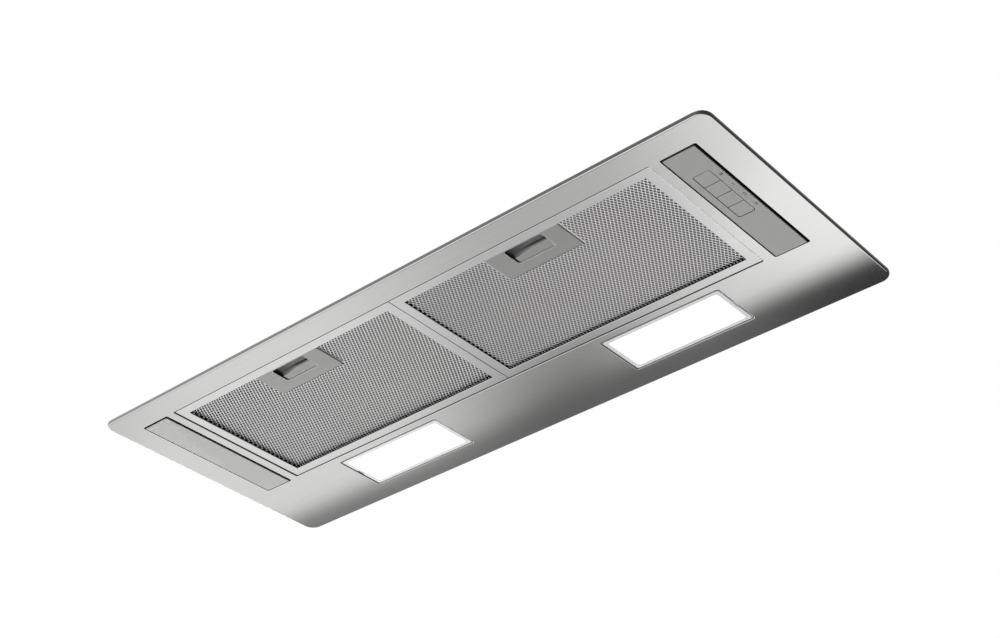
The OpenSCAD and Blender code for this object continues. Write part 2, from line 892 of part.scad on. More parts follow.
// The bowed leaf of a side clip: up the page is down the tray's wall
module clip_bow_section() {
    h = clip_base_h / 2;
    polygon([[clip_t, -h], [clip_t + clip_bow, -clip_t], [clip_t + clip_bow, clip_t], [clip_t, h / 2],
             [clip_t, h / 2 - clip_t * 2], [clip_bow, 0], [clip_t, -h + clip_t * 2]]);
}

module motor_box() {
    t = plate_metal_t;
    w = box_w - 2 * t;
    color("lightgray") difference() {
        translate([0, 0, tray_top_z]) block(w, box_d, box_h);
        translate([0, 0, tray_top_z + t]) block(w + 2 * over, box_d - 2 * t, box_h - 2 * t);
        translate([0, 0, tray_top_z - over])
            block(w + 2 * over, box_d - 2 * (t + box_flange), t + 2 * over);
        for (p = box_screw_places) translate([p[0], p[1], tray_top_z - over])
            cylinder(r = screw_r + screw_gap, h = t + 2 * over);
        translate([0, 0, box_in_z - over]) linear_extrude(t + 2 * over) intersection() {
            translate([0, duct_y]) circle(flap_r - stop_w, $fn = 96);
            translate([0, duct_y]) square([scroll_w, mouth_out - mouth_in], center = true);
        }
        for (s = [-1, 1], u = [-1, 1])
            translate([s * blower_screw_x, duct_y + u * blower_screw_y, box_in_z - over])
                cylinder(r = screw_r + screw_gap, h = t + 2 * over);
        translate([0, duct_y, box_in_z - over]) collar_ring() cylinder(r = screw_r, h = t + 2 * over);
    }
}

module motor_box_end(side) {
    t = plate_metal_t;
    color("lightgray") difference() {
        union() {
            translate([side * (box_w / 2 - t / 2), 0, tray_top_z]) block(t, box_d, box_h);
            for (s = [-1, 1])
                translate([side * (box_w / 2 - t - end_flange / 2), s * (box_d - 3 * t) / 2, tray_top_z + t])
                    block(end_flange, t, box_h - 2 * t);
            translate([side * (box_w / 2 - t - box_flange / 2), 0, tray_top_z])
                block(box_flange, box_d - 2 * (t + box_flange), t);
        }
        for (p = box_screw_places) translate([p[0], p[1], tray_top_z - over])
            cylinder(r = screw_r + screw_gap, h = t + 2 * over);
    }
}

// A pan head screw; its own origin is the underside of the head
module pan_screw() {
    cylinder(r = screw_head_r, h = screw_head_h);
    translate([0, 0, -screw_len]) cylinder(r = screw_r, h = screw_len);
}

// The screws of the motor box, of the blower under it and of the collar on it
module body_screws() {
    color("silver") {
        for (p = box_screw_places) translate([p[0], p[1], tray_top_z + plate_metal_t]) pan_screw();
        for (s = [-1, 1], u = [-1, 1])
            translate([s * blower_screw_x, duct_y + u * blower_screw_y, box_top_z]) pan_screw();
        translate([0, duct_y, box_top_z + collar_flange_t]) collar_ring() pan_screw();
    }
}

// Copies a piece round the collar's flange
module collar_ring() {
    for (a = [0:collar_screw_n - 1]) rotate([0, 0, 360 * (a + 1 / 2) / collar_screw_n])
        translate([collar_screw_r, 0, 0]) children();
}

// The blower casing's outline, grown outwards by g: across is Y, up is Z
module volute(g) {
    s = scroll_step;
    circle(scroll_r + g, $fn = 96);
    translate([s, 0]) intersection() {
        circle(quarter_1_r + g, $fn = 96);
        translate([-2 * quarter_1_r, -2 * quarter_1_r]) square(2 * quarter_1_r);
    }
    translate([s, s]) intersection() {
        circle(quarter_2_r + g, $fn = 96);
        translate([0, -2 * quarter_2_r]) square(2 * quarter_2_r);
    }
    translate([mouth_in - g, s - g]) square([mouth_out - mouth_in + 2 * g, mouth_h - s + g]);
}

module scroll_half_shell(side) {
    x0 = side > 0 ? 0 : -scroll_out;
    in0 = side > 0 ? 0 : -scroll_half;
    color("dimgray") translate([0, blower_y, blower_z]) difference() {
        union() {
            yz_plate(x0, scroll_out) intersection() {
                volute(scroll_wall);
                translate([-mouth_out * 2, -mouth_out * 2]) square([mouth_out * 4, mouth_out * 2 + mouth_h]);
            }
            translate([side > 0 ? 0 : -scroll_out - mouth_flange, mouth_in - scroll_wall - mouth_flange_y,
                mouth_h - mouth_flange_t])
                cube([scroll_out + mouth_flange, mouth_out - mouth_in + 2 * (scroll_wall + mouth_flange_y),
                    mouth_flange_t]);
        }
        yz_plate(in0 - (side > 0 ? over : 0), scroll_half + over) union() {
            volute(0);
            translate([mouth_in, mouth_h - over]) square([mouth_out - mouth_in, 2 * over]);
        }
        along_x() cylinder(r = inlet_r, h = 2 * (scroll_out + over), center = true);
        for (u = [-1, 1])
            translate([side * blower_screw_x, mouth_mid + u * blower_screw_y,
                mouth_h - mouth_flange_t - over])
                cylinder(r = screw_r, h = mouth_flange_t + 2 * over);
    }
    color("dimgray") translate([side > 0 ? scroll_half - inlet_lip : -scroll_out, blower_y, blower_z])
        along_x() difference() {
            cylinder(r = inlet_r, h = inlet_lip + scroll_wall);
            translate([0, 0, -over])
                cylinder(r = inlet_r - inlet_lip_t, h = inlet_lip + scroll_wall + 2 * over);
        }
}

// Places a blower part whose own origin is the middle of the axis, along X
module at_axis(x) {
    translate([x, blower_y, blower_z]) along_x() children();
}

// Copies a blower piece to both ends of the axis, each with +Z outwards
module both_ends() {
    for (s = [0, 1]) mirror([0, 0, s]) children();
}

// The wheel: a disc on its hub, and at each end blades held between the disc and a ring
module impeller() {
    blade_w = (wheel_w - wheel_disc_t) / 2 - wheel_ring_t - 2 * blade_fit;
    color("gray") at_axis(0) {
        difference() {
            union() {
                cylinder(r = wheel_r, h = wheel_disc_t, center = true, $fn = 96);
                cylinder(r = hub_r, h = hub_w, center = true);
            }
            cylinder(r = shaft_r, h = hub_w + 2 * over, center = true);
        }
        both_ends() {
            translate([0, 0, wheel_w / 2 - wheel_ring_t]) difference() {
                cylinder(r = wheel_r, h = wheel_ring_t, $fn = 96);
                translate([0, 0, -over])
                    cylinder(r = wheel_r - wheel_ring, h = wheel_ring_t + 2 * over, $fn = 96);
            }
            for (i = [0:blade_n - 1]) rotate([0, 0, 360 * i / blade_n])
                translate([wheel_r - wheel_ring / 2, 0, wheel_disc_t / 2 + blade_fit]) rotate([0, 0, blade_lean])
                    block(blade_chord, blade_t, blade_w);
        }
    }
}

module motor_shaft() {
    color("silver") at_axis(shaft_x0) cylinder(r = shaft_r, h = shaft_x1 - shaft_x0);
}

motor_mid = (motor_x0 + motor_x1) / 2;

module motor_rotor() {
    color("dimgray") at_axis(motor_mid) difference() {
        cylinder(r = rotor_r, h = stator_w, center = true);
        cylinder(r = shaft_r, h = stator_w + 2 * over, center = true);
    }
}

module motor_stator() {
    bore_r = rotor_r + rotor_gap;
    color("brown") at_axis(motor_mid) {
        difference() {
            cylinder(r = motor_r - motor_wall, h = stator_w, center = true);
            cylinder(r = bore_r, h = stator_w + 2 * over, center = true);
        }
        for (s = [-1, 1]) translate([0, 0, s * (stator_w + winding_w) / 2]) difference() {
            cylinder(r = bore_r + winding_t, h = winding_w, center = true);
            cylinder(r = bore_r, h = winding_w + 2 * over, center = true);
        }
    }
}

module motor_can() {
    color("silver") at_axis(motor_mid) difference() {
        cylinder(r = motor_r, h = motor_w, center = true);
        cylinder(r = motor_r - motor_wall, h = motor_w - 2 * motor_wall, center = true);
        cylinder(r = shaft_r + 2 * shaft_gap, h = motor_w + 2 * over, center = true);
    }
    color("silver") for (s = [-1, 1]) at_axis(motor_mid + s * (motor_w / 2 - motor_wall - bearing_w / 2))
        difference() {
            cylinder(r = bearing_r + motor_wall, h = bearing_w, center = true);
            cylinder(r = bearing_r, h = bearing_w + 2 * over, center = true);
        }
}

module motor_bearings() {
    color("gold") for (s = [-1, 1]) at_axis(motor_mid + s * (motor_w / 2 - motor_wall - bearing_w / 2))
        difference() {
            cylinder(r = bearing_r, h = bearing_w, center = true);
            cylinder(r = shaft_r + shaft_gap, h = bearing_w + 2 * over, center = true);
        }
}

module motor_bushes() {
    color("black") at_axis(motor_x1) for (i = [0:bush_n - 1]) rotate([0, 0, 360 * i / bush_n])
        translate([bush_pcd_r, 0, 0]) cylinder(r = bush_r, h = bush_w);
}

// The bracket's flat spider: a ring with an arm and a foot for each bush
module bracket_spider() {
    linear_extrude(bracket_t) difference() {
        union() {
            circle(bracket_disc_r + bracket_t);
            for (i = [0:bush_n - 1]) rotate(360 * (i + 1 / 2) / bush_n) {
                translate([0, -bracket_arm_w / 2]) square([bracket_ring_r, bracket_arm_w]);
                translate([bracket_ring_r, 0]) circle(bracket_foot_r);
            }
        }
        circle(bracket_disc_r - bracket_t);
        for (i = [0:bush_n - 1]) rotate(360 * (i + 1 / 2) / bush_n)
            translate([bracket_ring_r, 0]) circle(screw_r);
    }
}

module motor_bracket() {
    disc_x = motor_x1 + bush_w;
    color("silver") {
        at_axis(disc_x) difference() {
            cylinder(r = bracket_disc_r, h = bracket_x1 + bracket_t / 2 - disc_x);
            translate([0, 0, bracket_t])
                cylinder(r = bracket_disc_r - bracket_t, h = bracket_x1 + over - disc_x);
        }
        at_axis(bracket_x1) bracket_spider();
    }
}

module capacitor() {
    color("gainsboro") translate([cap_x, 0, cap_z]) rotate([90, 0, 0])
        cylinder(r = cap_r, h = cap_l, center = true);
}

module capacitor_clip() {
    wall_x = -box_w / 2 + plate_metal_t;
    color("silver") difference() {
        union() {
            translate([cap_x, 0, cap_z]) rotate([90, 0, 0])
                cylinder(r = cap_r + cap_clip_t, h = cap_clip_w, center = true);
            translate([wall_x, -cap_clip_w / 2, cap_z - cap_foot_w])
                cube([cap_clip_t, cap_clip_w, 2 * cap_foot_w]);
        }
        translate([cap_x, 0, cap_z]) rotate([90, 0, 0])
            cylinder(r = cap_r, h = cap_clip_w + 2 * over, center = true);
    }
}

module duct_collar() {
    color("lightgray") translate([0, duct_y, box_top_z]) difference() {
        union() {
            cylinder(r = duct_r, h = duct_h, $fn = 96);
            cylinder(r = duct_r + collar_flange, h = collar_flange_t, $fn = 96);
        }
        translate([0, 0, -over]) cylinder(r = duct_r - duct_wall, h = duct_h + 2 * over, $fn = 96);
        translate([0, 0, flap_z - box_top_z]) pin_hole();
        translate([0, 0, -over]) collar_ring() cylinder(r = screw_r, h = collar_flange_t + 2 * over);
    }
    color("lightgray") translate([0, duct_y, flap_z]) difference() {
        translate([0, 0, -flap_t / 2 - run_gap - stop_t]) difference() {
            cylinder(r = duct_r - duct_wall, h = stop_t, $fn = 96);
            translate([0, 0, -over])
                cylinder(r = duct_r - duct_wall - stop_w, h = stop_t + 2 * over, $fn = 96);
        }
        pin_hole();
    }
}

// The bore across the collar that holds the flaps' pin
module pin_hole() {
    along_x() cylinder(r = pin_r + pin_fit, h = 2 * (duct_r + over), center = true);
}

module damper_pin() {
    color("silver") translate([0, duct_y, flap_z]) along_x()
        cylinder(r = pin_r, h = 2 * (duct_r - pin_inset), center = true);
}

// A half round flap; side is +1 for the rear one, whose knuckles are further in
module damper_flap(side) {
    knuckle_at = knuckle_x - side * knuckle_step;
    color("lightgray") translate([0, duct_y, flap_z]) difference() {
        union() {
            translate([0, 0, -flap_t / 2]) linear_extrude(flap_t) intersection() {
                circle(flap_r, $fn = 96);
                translate([-duct_r, side > 0 ? flap_edge : -flap_edge - duct_r]) square([2 * duct_r, duct_r]);
            }
            for (s = [-1, 1]) translate([s * knuckle_at, 0, 0]) {
                along_x() cylinder(r = knuckle_r, h = knuckle_w, center = true);
                translate([-knuckle_w / 2, side > 0 ? 0 : -flap_edge - flap_t, -flap_t / 2])
                    cube([knuckle_w, flap_edge + flap_t, flap_t]);
            }
        }
        along_x() cylinder(r = pin_r + pin_gap, h = 2 * duct_r, center = true);
    }
}

module terminal_box() {
    color("gray") difference() {
        translate([term_x, 0, tray_top_z]) block(term_w, term_d, term_h);
        translate([term_x, 0, tray_top_z - over]) cylinder(r = loom_hole_r, h = term_wall + 2 * over);
        translate([term_x, 0, tray_top_z + term_wall])
            block(term_w - 2 * term_wall, term_d - 2 * term_wall, term_h);
        translate([term_x + term_w / 2 - term_wall - over, 0, tray_top_z + term_h / 2]) along_x()
            cylinder(r = gland_r - gland_nut_l / 2, h = term_wall + 2 * over);
    }
    color("gray") for (s = [-1, 1], t = [-1, 1])
        translate([term_x + s * (term_w / 2 - term_screw_inset), t * (term_d / 2 - term_screw_inset),
            tray_top_z])
            cylinder(r = screw_head_r, h = term_h);
}

module terminal_block() {
    l = block_poles * block_pitch;
    color("ivory") translate([term_x - block_offset, 0, tray_top_z + term_wall]) difference() {
        block(block_w, l, block_h);
        for (i = [0:block_poles - 1], s = [-1, 1])
            translate([s * block_w / 4, (i + 1 / 2) * block_pitch - l / 2, block_h / 2])
                cylinder(r = screw_r, h = block_h);
    }
}

module terminal_cover() {
    color("gray") {
        translate([term_x, 0, tray_top_z + term_h]) block(term_w, term_d, term_lid_t);
        for (s = [-1, 1], t = [-1, 1])
            translate([term_x + s * (term_w / 2 - term_screw_inset), t * (term_d / 2 - term_screw_inset),
                tray_top_z + term_h + term_lid_t])
                cylinder(r = screw_head_r, h = screw_head_h);
    }
}

module cable_gland() {
    wall_x = term_x + term_w / 2;
    color("black") translate([wall_x, 0, tray_top_z + term_h / 2]) along_x() difference() {
        union() {
            cylinder(r = gland_nut_r, h = gland_nut_l, $fn = 6);
            cylinder(r = gland_r, h = gland_l);
            translate([0, 0, -term_wall]) cylinder(r = gland_r - gland_nut_l / 2, h = term_wall + over);
        }
        translate([0, 0, -term_wall - over]) cylinder(r = cord_r, h = gland_l + term_wall + 2 * over);
    }
}

// The internal wires, each a list of corners; every run lies along X, Y or Z
driver_end = driver_x + driver_w / 2;
driver_rear = driver_y + driver_d / 2;
lamp_top_z = panel_z + lamp_h;
motor_face_x = motor_x1 + bush_w + bracket_t;
loom_turn_x = -lamp_x - loom_hole_r;
loom_runs = [
    [[driver_x, driver_rear, loom_z], [driver_x, loom_y, loom_z], [lamp_x, loom_y, loom_z],
     [lamp_x, loom_y, lamp_top_z]],
    [[driver_end, driver_y, loom_z], [loom_turn_x, driver_y, loom_z], [loom_turn_x, loom_y, loom_z],
     [loom_turn_x, loom_y, lamp_top_z]],
    [[lamp_x, loom_y, loom_z], [term_x, loom_y, loom_z], [term_x, 0, loom_z],
     [term_x, 0, tray_top_z + term_wall]],
    [[strip_x, switch_y, switch_board_z + board_t], [strip_x, switch_y, loom_z],
     [term_x, switch_y, loom_z], [term_x, 0, loom_z]],
    [[term_x, blower_y, loom_z], [loom_x, blower_y, loom_z], [loom_x, blower_y, blower_z],
     [motor_face_x, blower_y, blower_z]],
    [[cap_x, cap_l / 2, cap_z], [cap_x, loom_y, cap_z], [cap_x, loom_y, loom_z]]
];

module wire_run(a, b) {
    d = b - a;
    translate(a) rotate([0, acos(d[2] / norm(d)), atan2(d[1], d[0])]) cylinder(r = loom_r, h = norm(d));
}

// Square splice blocks at the corners and the branches
loom_knots = concat(
    [for (run = loom_runs, i = [1:len(run) - 2]) run[i]],
    [[term_x, blower_y, loom_z], [cap_x, loom_y, loom_z]]
);

module wire_loom() {
    color("dimgray") {
        for (run = loom_runs, i = [0:len(run) - 2]) wire_run(run[i], run[i + 1]);
        for (knot = loom_knots) translate(knot) cube(2 * loom_knot_r, center = true);
    }
}

face_panel();
control_strip();
blank_strip();
button_light();
button_speed_1();
button_speed_2();
button_speed_3();
switch_housing();
switch_board();
switch_screws();
filter_frame(-1);  // filter_frame_left
filter_mesh(-1);  // filter_mesh_left
filter_core(-1);  // filter_core_left
filter_handle(-1);  // filter_handle_left
filter_latch(-1);  // filter_latch_left
latch_spring(-1);  // latch_spring_left
filter_frame(1);  // filter_frame_right
filter_mesh(1);  // filter_mesh_right
filter_core(1);  // filter_core_right
filter_handle(1);  // filter_handle_right
filter_latch(1);  // filter_latch_right
latch_spring(1);  // latch_spring_right
lamp_cover(-1);  // lamp_cover_left
lamp_housing(-1);  // lamp_housing_left
led_board(-1);  // led_board_left
lamp_cover(1);  // lamp_cover_right
lamp_housing(1);  // lamp_housing_right
led_board(1);  // led_board_right
led_driver();
tray_shell();
tray_end(-1);  // tray_end_left
tray_end(1);  // tray_end_right
panel_studs();
stud_nuts();
side_clips();
motor_box();
motor_box_end(-1);  // motor_box_end_left
motor_box_end(1);  // motor_box_end_right
body_screws();
scroll_half_shell(-1);  // scroll_left
scroll_half_shell(1);  // scroll_right
impeller();
motor_shaft();
motor_rotor();
motor_stator();
motor_can();
motor_bearings();
motor_bracket();
motor_bushes();
capacitor();
capacitor_clip();
duct_collar();
damper_pin();
damper_flap(-1);  // damper_flap_front
damper_flap(1);  // damper_flap_rear
terminal_box();
terminal_block();
terminal_cover();
cable_gland();
wire_loom();
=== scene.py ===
"""Looks of the range hood insert: its finer shapes, its finishes, the light and the camera."""
import json
from collections import namedtuple
from math import cos, radians, sin

import bmesh
import bpy
from mathutils import Matrix, Vector


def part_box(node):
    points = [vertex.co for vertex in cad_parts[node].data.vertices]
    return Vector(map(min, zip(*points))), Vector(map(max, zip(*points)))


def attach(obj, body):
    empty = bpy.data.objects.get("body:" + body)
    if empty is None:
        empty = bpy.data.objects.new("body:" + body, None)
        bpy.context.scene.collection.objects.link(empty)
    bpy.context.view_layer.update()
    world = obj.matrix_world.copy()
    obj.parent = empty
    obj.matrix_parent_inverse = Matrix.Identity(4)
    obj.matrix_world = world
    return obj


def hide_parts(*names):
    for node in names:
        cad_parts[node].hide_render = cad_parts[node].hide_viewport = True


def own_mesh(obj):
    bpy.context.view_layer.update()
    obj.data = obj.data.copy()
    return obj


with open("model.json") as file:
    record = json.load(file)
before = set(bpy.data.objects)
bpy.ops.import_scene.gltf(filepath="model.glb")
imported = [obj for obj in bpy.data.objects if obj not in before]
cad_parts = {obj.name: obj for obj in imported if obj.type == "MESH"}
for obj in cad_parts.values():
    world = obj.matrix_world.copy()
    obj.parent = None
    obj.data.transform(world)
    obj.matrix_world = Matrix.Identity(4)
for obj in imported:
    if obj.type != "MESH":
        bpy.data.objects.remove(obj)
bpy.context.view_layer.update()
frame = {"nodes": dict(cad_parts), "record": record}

# All lengths below are in metres, in the frame of the CAD: X right, Y to the wall, Z up.
MM = 0.001
WELD = 0.002 * MM
NODE_WELD = 0.001 * MM
PANEL_SUPPORT = 0.5 * MM
EDGE_SUPPORT = 0.3 * MM
OPENING_SUPPORT = 0.4 * MM
SIDES = {"left": -1, "right": 1}

# The face panel
FACE_W = 720 * MM
FACE_D = 289 * MM
FACE_Z = 0.8 * MM
CORNER_R = 12 * MM
SHEET_T = 1 * MM
PANEL_T = 0.98 * MM
RIM_H = 4 * MM
RIM_Z = FACE_Z + RIM_H
BEND_R = 1.6 * MM
# How far in from the front edge a thin line of painted shade runs.
SHADE_LINE_IN = 2.2 * MM
HEM_BEND_R = 0.8 * MM
HEM_W = 7 * MM
LIP_H = 6 * MM
LIP_BEND_R = 0.9 * MM
STRIP_BEND_R = 0.5 * MM
LAMP_BEND_R = 0.8 * MM

# The filter opening and a filter in it
OPENING_W = 572.4 * MM
OPENING_D = 166.2 * MM
OPENING_Y = -33.1 * MM
OPENING_CORNER_R = 0.4 * MM
FILTER_W = 285 * MM
FILTER_D = 164.6 * MM
FILTER_T = 9 * MM
FILTER_X = 142.9 * MM
FILTER_Z = 2.3 * MM
FACE_DROP = 0.8 * MM
BORDER = 10 * MM
FRAME_FOLD_R = 0.4 * MM
FRAME_INNER_R = 0.5 * MM
FRAME_BACK_CHAMFER = 0.3 * MM
FRAME_FACE_T = 2.5 * MM
FRAME_WALL = 1.2 * MM
FRAME_BACK_T = 1 * MM
FRAME_REAR_OUT = 0.25 * MM
FRAME_RIGHT_OUT = 0.45 * MM
TAB_W = 24 * MM
TAB_SHARE = 0.3
TAB_REACH = 3.4 * MM
TAB_Z = 4.8 * MM
TAB_T = 1.5 * MM
TAB_EASE = 0.4 * MM
CUTTER_D = 6 * MM
TONGUE_W = 26.6 * MM
TONGUE_H = 2.7 * MM
TONGUE_Z = 4.5 * MM

# The expanded mesh of a filter
MESH_PITCH_X = 3.5 * MM
MESH_PITCH_Y = 6 * MM
MESH_MARGIN = 4 * MM
MESH_Z = 4.45 * MM
MESH_ROOM = 0.5 * MM
BACK_MESH_Z = 10.6 * MM
BACK_MESH_MARGIN = 10.4 * MM
STRAND_T = 0.15 * MM
STRAND_W = {"left": 0.98 * MM, "right": 0.85 * MM}
STRAND_LEAN = {"left": radians(6), "right": radians(-12)}
# Painted shade: the right filter's mesh is a darker copy of the same foil, where less light falls.
STRAND_TONE_WITH_SHADE = {"left": 0.94, "right": 0.74}

# The handle plate
PLATE_W = 80 * MM
PLATE_D = 36.5 * MM
PLATE_Y = -105.4 * MM
PLATE_CORNER_R = 0.6 * MM
PLATE_BEND_R = 0.4 * MM
POCKET_W = 41 * MM
POCKET_D = 21 * MM
POCKET_FRONT = 2 * MM
POCKET_SHIFT = 1.1 * MM
POCKET_CORNER_R = 2.6 * MM
POCKET_BEND_R = 0.7 * MM
HANDLE_WALL = 0.8 * MM

# The sliding latch behind the plate
LATCH_Z = 4.8 * MM
LATCH_T = 2.1 * MM
LATCH_HALF = 37.4 * MM
LATCH_FRONT = HANDLE_WALL + 0.3 * MM
ARM_W = 6 * MM
BAR_D = 2.6 * MM
TONGUE_IN_W = 26 * MM
TONGUE_REACH = 4 * MM
PAD_REAR = 26.5 * MM
PAD_CREST_Y = 13.4 * MM
PAD_CREST_LEFT_Y = 15.6 * MM
PAD_CREST_Z = 0.9 * MM
PAD_FOOT_Y = 11.1 * MM
PAD_FLOOR_Z = 3.6 * MM
PAD_FLOOR_T = 1.4 * MM
PAD_FLOOR_EASE = 0.2 * MM
BAR_EASE = 0.3 * MM
TONGUE_EASE = 0.4 * MM
PAD_LEFT = 17.3 * MM
PAD_RIGHT = 22.5 * MM
PAD_BEND = 2.0
PAD_HOLLOW = 0.7
PAD_BEND_STEPS = 14
PAD_STEPS = 8
SPRING_TURNS = 4
SPRING_WIRE_R = 0.3 * MM

# The body: its screws, and how far its sheet and moulded boxes are eased
SCREW_HEAD_R = 3.6 * MM
SCREW_HEAD_H = 2.2 * MM
SCREW_R = 2 * MM
SCREW_LEN = 5 * MM
RECESS_W = 0.9 * MM
RECESS_H = 1.2 * MM
HALF_TURN = 3.14
SHEET_EASE = 0.4 * MM
SHEET_CORNER = 20 * MM
BOX_EASE = 0.8 * MM
BOX_CORNER = 8 * MM
COVER_EASE = 0.7 * MM

# The signs beside the buttons
SIGN_X = 326.2 * MM
SIGN_SHIFT = 1.8 * MM
SIGN_SIZE = 1.25 * MM
SIGN_STROKE = 0.6 * MM
SIGN_T = 0.005 * MM

# The lamp openings
LAMP_X = 167.5 * MM
LAMP_Y = 88.15 * MM
LAMP_W = 130.4 * MM
LAMP_D = 57.5 * MM
LAMP_CORNER_R = 2 * MM
COVER_W = 129 * MM
COVER_D = 56.1 * MM

# The plastic strips and the buttons
STRIP_X = 314.2 * MM
STRIP_Y = -32.7 * MM
STRIP_W = 33.2 * MM
STRIP_D = 167 * MM
STRIP_GAP = 0.75 * MM
STRIP_GAP_LEFT = 0.45 * MM
STRIP_GAP_RIGHT = 1.1 * MM
STRIP_GAP_REAR = 1.2 * MM
STRIP_CORNER_R = 1.5 * MM
STRIP_ROUND = 0.8 * MM
STRIP_TOP_Z = 7 * MM
STRIP_WALL = 1.6 * MM
PRINT_DEPTH = 0.03 * MM
SLOT_BEND_R = 0.2 * MM
SLOT_H = 2 * MM
BUTTON_X = 313.3 * MM
BUTTON_Y0 = -82.7 * MM
BUTTON_PITCH = 16.8 * MM
BUTTON_W = 15.8 * MM
BUTTON_GAP = 0.35 * MM
BUTTON_Z = 0.2 * MM
BUTTON_T = 3 * MM
BUTTON_BEND_R = 0.3 * MM
BUTTON_CORNER_R = 2 * MM
STEM_R = 2.5 * MM
STEM_TOP_Z = 13 * MM
BUTTONS = ["button_light", "button_speed_1", "button_speed_2", "button_speed_3"]

# The stage, and the card that the panel mirrors
FLOOR_SIZE = 8
FLOOR_CORNER_R = 0.5
FLOOR_Z = -1.4
SOFFIT_W, SOFFIT_D = 1.7, 1.3
SOFFIT_SHIFT = -0.05
SOFFIT_CORNER_R = 10 * MM
SOFFIT_OVER_HEM = 9 * MM
SOFFIT_HOLE_R = 6 * MM
SOFFIT_GAP = 0.05 * MM
CARD_Y = 0.55
CARD_LEFT, CARD_RIGHT = -1.9, 0.7
CARD_TOP, CARD_FOOT = -0.06, -1.15

# The camera
CAMERA_PLACE = Vector((885.4, -1008.8, -880.8)) * MM
CAMERA_RIGHT = Vector((0.76128558, 0.64839882, -0.00482083))
CAMERA_DOWN = Vector((-0.37074979, 0.42917401, -0.82362265))
CAMERA_FORWARD = Vector((-0.53196698, 0.62879936, 0.56711771))
CAMERA_LENS = 62.3
CAMERA_SENSOR = 36.0

UP = Vector((0, 0, 1))
FORWARD = Vector((0, -1, 0))


# Nodes of materials and of geometry

class Value:
    """One output of a node. Arithmetic on it makes Math nodes."""

    def __init__(self, socket):
        self.socket = socket
        self.tree = socket.id_data

    def __add__(self, other):
        return calculated("ADD", self, other)

    def __sub__(self, other):
        return calculated("SUBTRACT", self, other)

    def __rsub__(self, other):
        return calculated("SUBTRACT", other, self)

    def __mul__(self, other):
        return calculated("MULTIPLY", self, other)

    def __truediv__(self, other):
        return calculated("DIVIDE", self, other)

    def __abs__(self):
        return calculated("ABSOLUTE", self)


Parts = namedtuple("Parts", "x y z")


def add(tree, kind, inputs=None, **settings):
    """Adds a node, sets it, and sets or links its inputs; a kind without a family is a shader node."""
    node = tree.nodes.new(kind if "Node" in kind else "ShaderNode" + kind)
    for key, value in settings.items():
        setattr(node, key, value)
    for key, value in (inputs or {}).items():
        values = value if isinstance(value, list) else [value]
        for value in values:
            if isinstance(value, Value):
                tree.links.new(value.socket, node.inputs[key])
            else:
                node.inputs[key].default_value = value
    return node


def made(tree, kind, inputs=None, output=0, **settings):
    """Adds a node and gives one of its outputs."""
    return Value(add(tree, kind, inputs, **settings).outputs[output])


def grow(tree, kind, inputs=None, **settings):
    """Adds a Geometry node and gives its first output."""
    return made(tree, "GeometryNode" + kind, inputs, **settings)


def calculated(operation, *values):
    """The result of a Math node."""
    tree = next(value.tree for value in values if isinstance(value, Value))
    return made(tree, "Math", dict(enumerate(values)), operation=operation)


def mapped(value, from_low, from_high, to_low=0.0, to_high=1.0):
    """A value carried from one range to another, with its ends kept."""
    return made(value.tree, "MapRange", {
        "Value": value, "From Min": from_low, "From Max": from_high, "To Min": to_low, "To Max": to_high,
    })


def reach(value, low, high, ends="SMOOTHSTEP"):
    """0 below one value and 1 above another, with soft ends."""
    return made(value.tree, "MapRange", {"Value": value, "From Min": low, "From Max": high},
                interpolation_type=ends)


def blend_of(factor, low, high):
    """A value between two, by a factor."""
    return made(factor.tree, "Mix", {0: factor, 2: low, 3: high}, data_type="FLOAT")


def tinted(factor, low, high):
    """A colour between two, by a factor."""
    return made(factor.tree, "Mix", {0: factor, 6: low, 7: high}, output=2, data_type="RGBA")


def split(vector):
    """The three parts of a vector."""
    return Parts(*map(Value, add(vector.tree, "SeparateXYZ", {0: vector}).outputs))


def combined(tree, x=0.0, y=0.0, z=0.0):
    return made(tree, "CombineXYZ", {0: x, 1: y, 2: z})


def grey(level):
    return (level, level, level, 1.0)


def new_group(kind, name, inputs):
    """A node group and its inputs: a number is an input's value at first, a word is its kind."""
    tree = bpy.data.node_groups.new(name, kind + "NodeTree")
    for label, value in inputs.items():
        word = isinstance(value, str)
        socket = tree.interface.new_socket(name=label, in_out="INPUT",
                                           socket_type="NodeSocket" + (value if word else "Float"))
        if not word:
            socket.default_value = value
    given = {socket.name: Value(socket) for socket in tree.nodes.new("NodeGroupInput").outputs if socket.name}
    return tree, given


def put_out(tree, kind, **values):
    """Gives a group its named outputs."""
    for label in values:
        tree.interface.new_socket(name=label, in_out="OUTPUT", socket_type="NodeSocket" + kind)
    target = tree.nodes.new("NodeGroupOutput")
    for label, value in values.items():
        tree.links.new(value.socket, target.inputs[label])
    return tree


def brushed_grain():
    """Long fine lines along X: how light each is, and how high."""
    tree, given = new_group("Shader", "Brushed grain", {
        "Vector": "Vector", "Length": 24.0, "Fineness": 900.0,
    })
    layers = []
    for fineness, length in ((1.0, 1.0), (2.8, 1.7)):
        fine = given["Fineness"] * fineness
        scale = combined(tree, given["Length"] * length, fine, fine)
        place = made(tree, "VectorMath", {0: given["Vector"], 1: scale}, operation="MULTIPLY")
        layers.append(made(tree, "TexNoise", {"Vector": place, "Scale": 1.0, "Detail": 2.0}))
    return put_out(tree, "Float", Tone=layers[0] * 0.6 + layers[1] * 0.4, Height=layers[1])


def soft_marks():
    """Broad soft clouds of handling and polish, from 0 to 1."""
    tree, given = new_group("Shader", "Soft marks", {"Vector": "Vector", "Scale": 12.0})
    noise = made(tree, "TexNoise", {**given, "Detail": 4.0, "Roughness": 0.55})
    return put_out(tree, "Float", Mask=reach(noise, 0.25, 0.75, "SMOOTHERSTEP"))


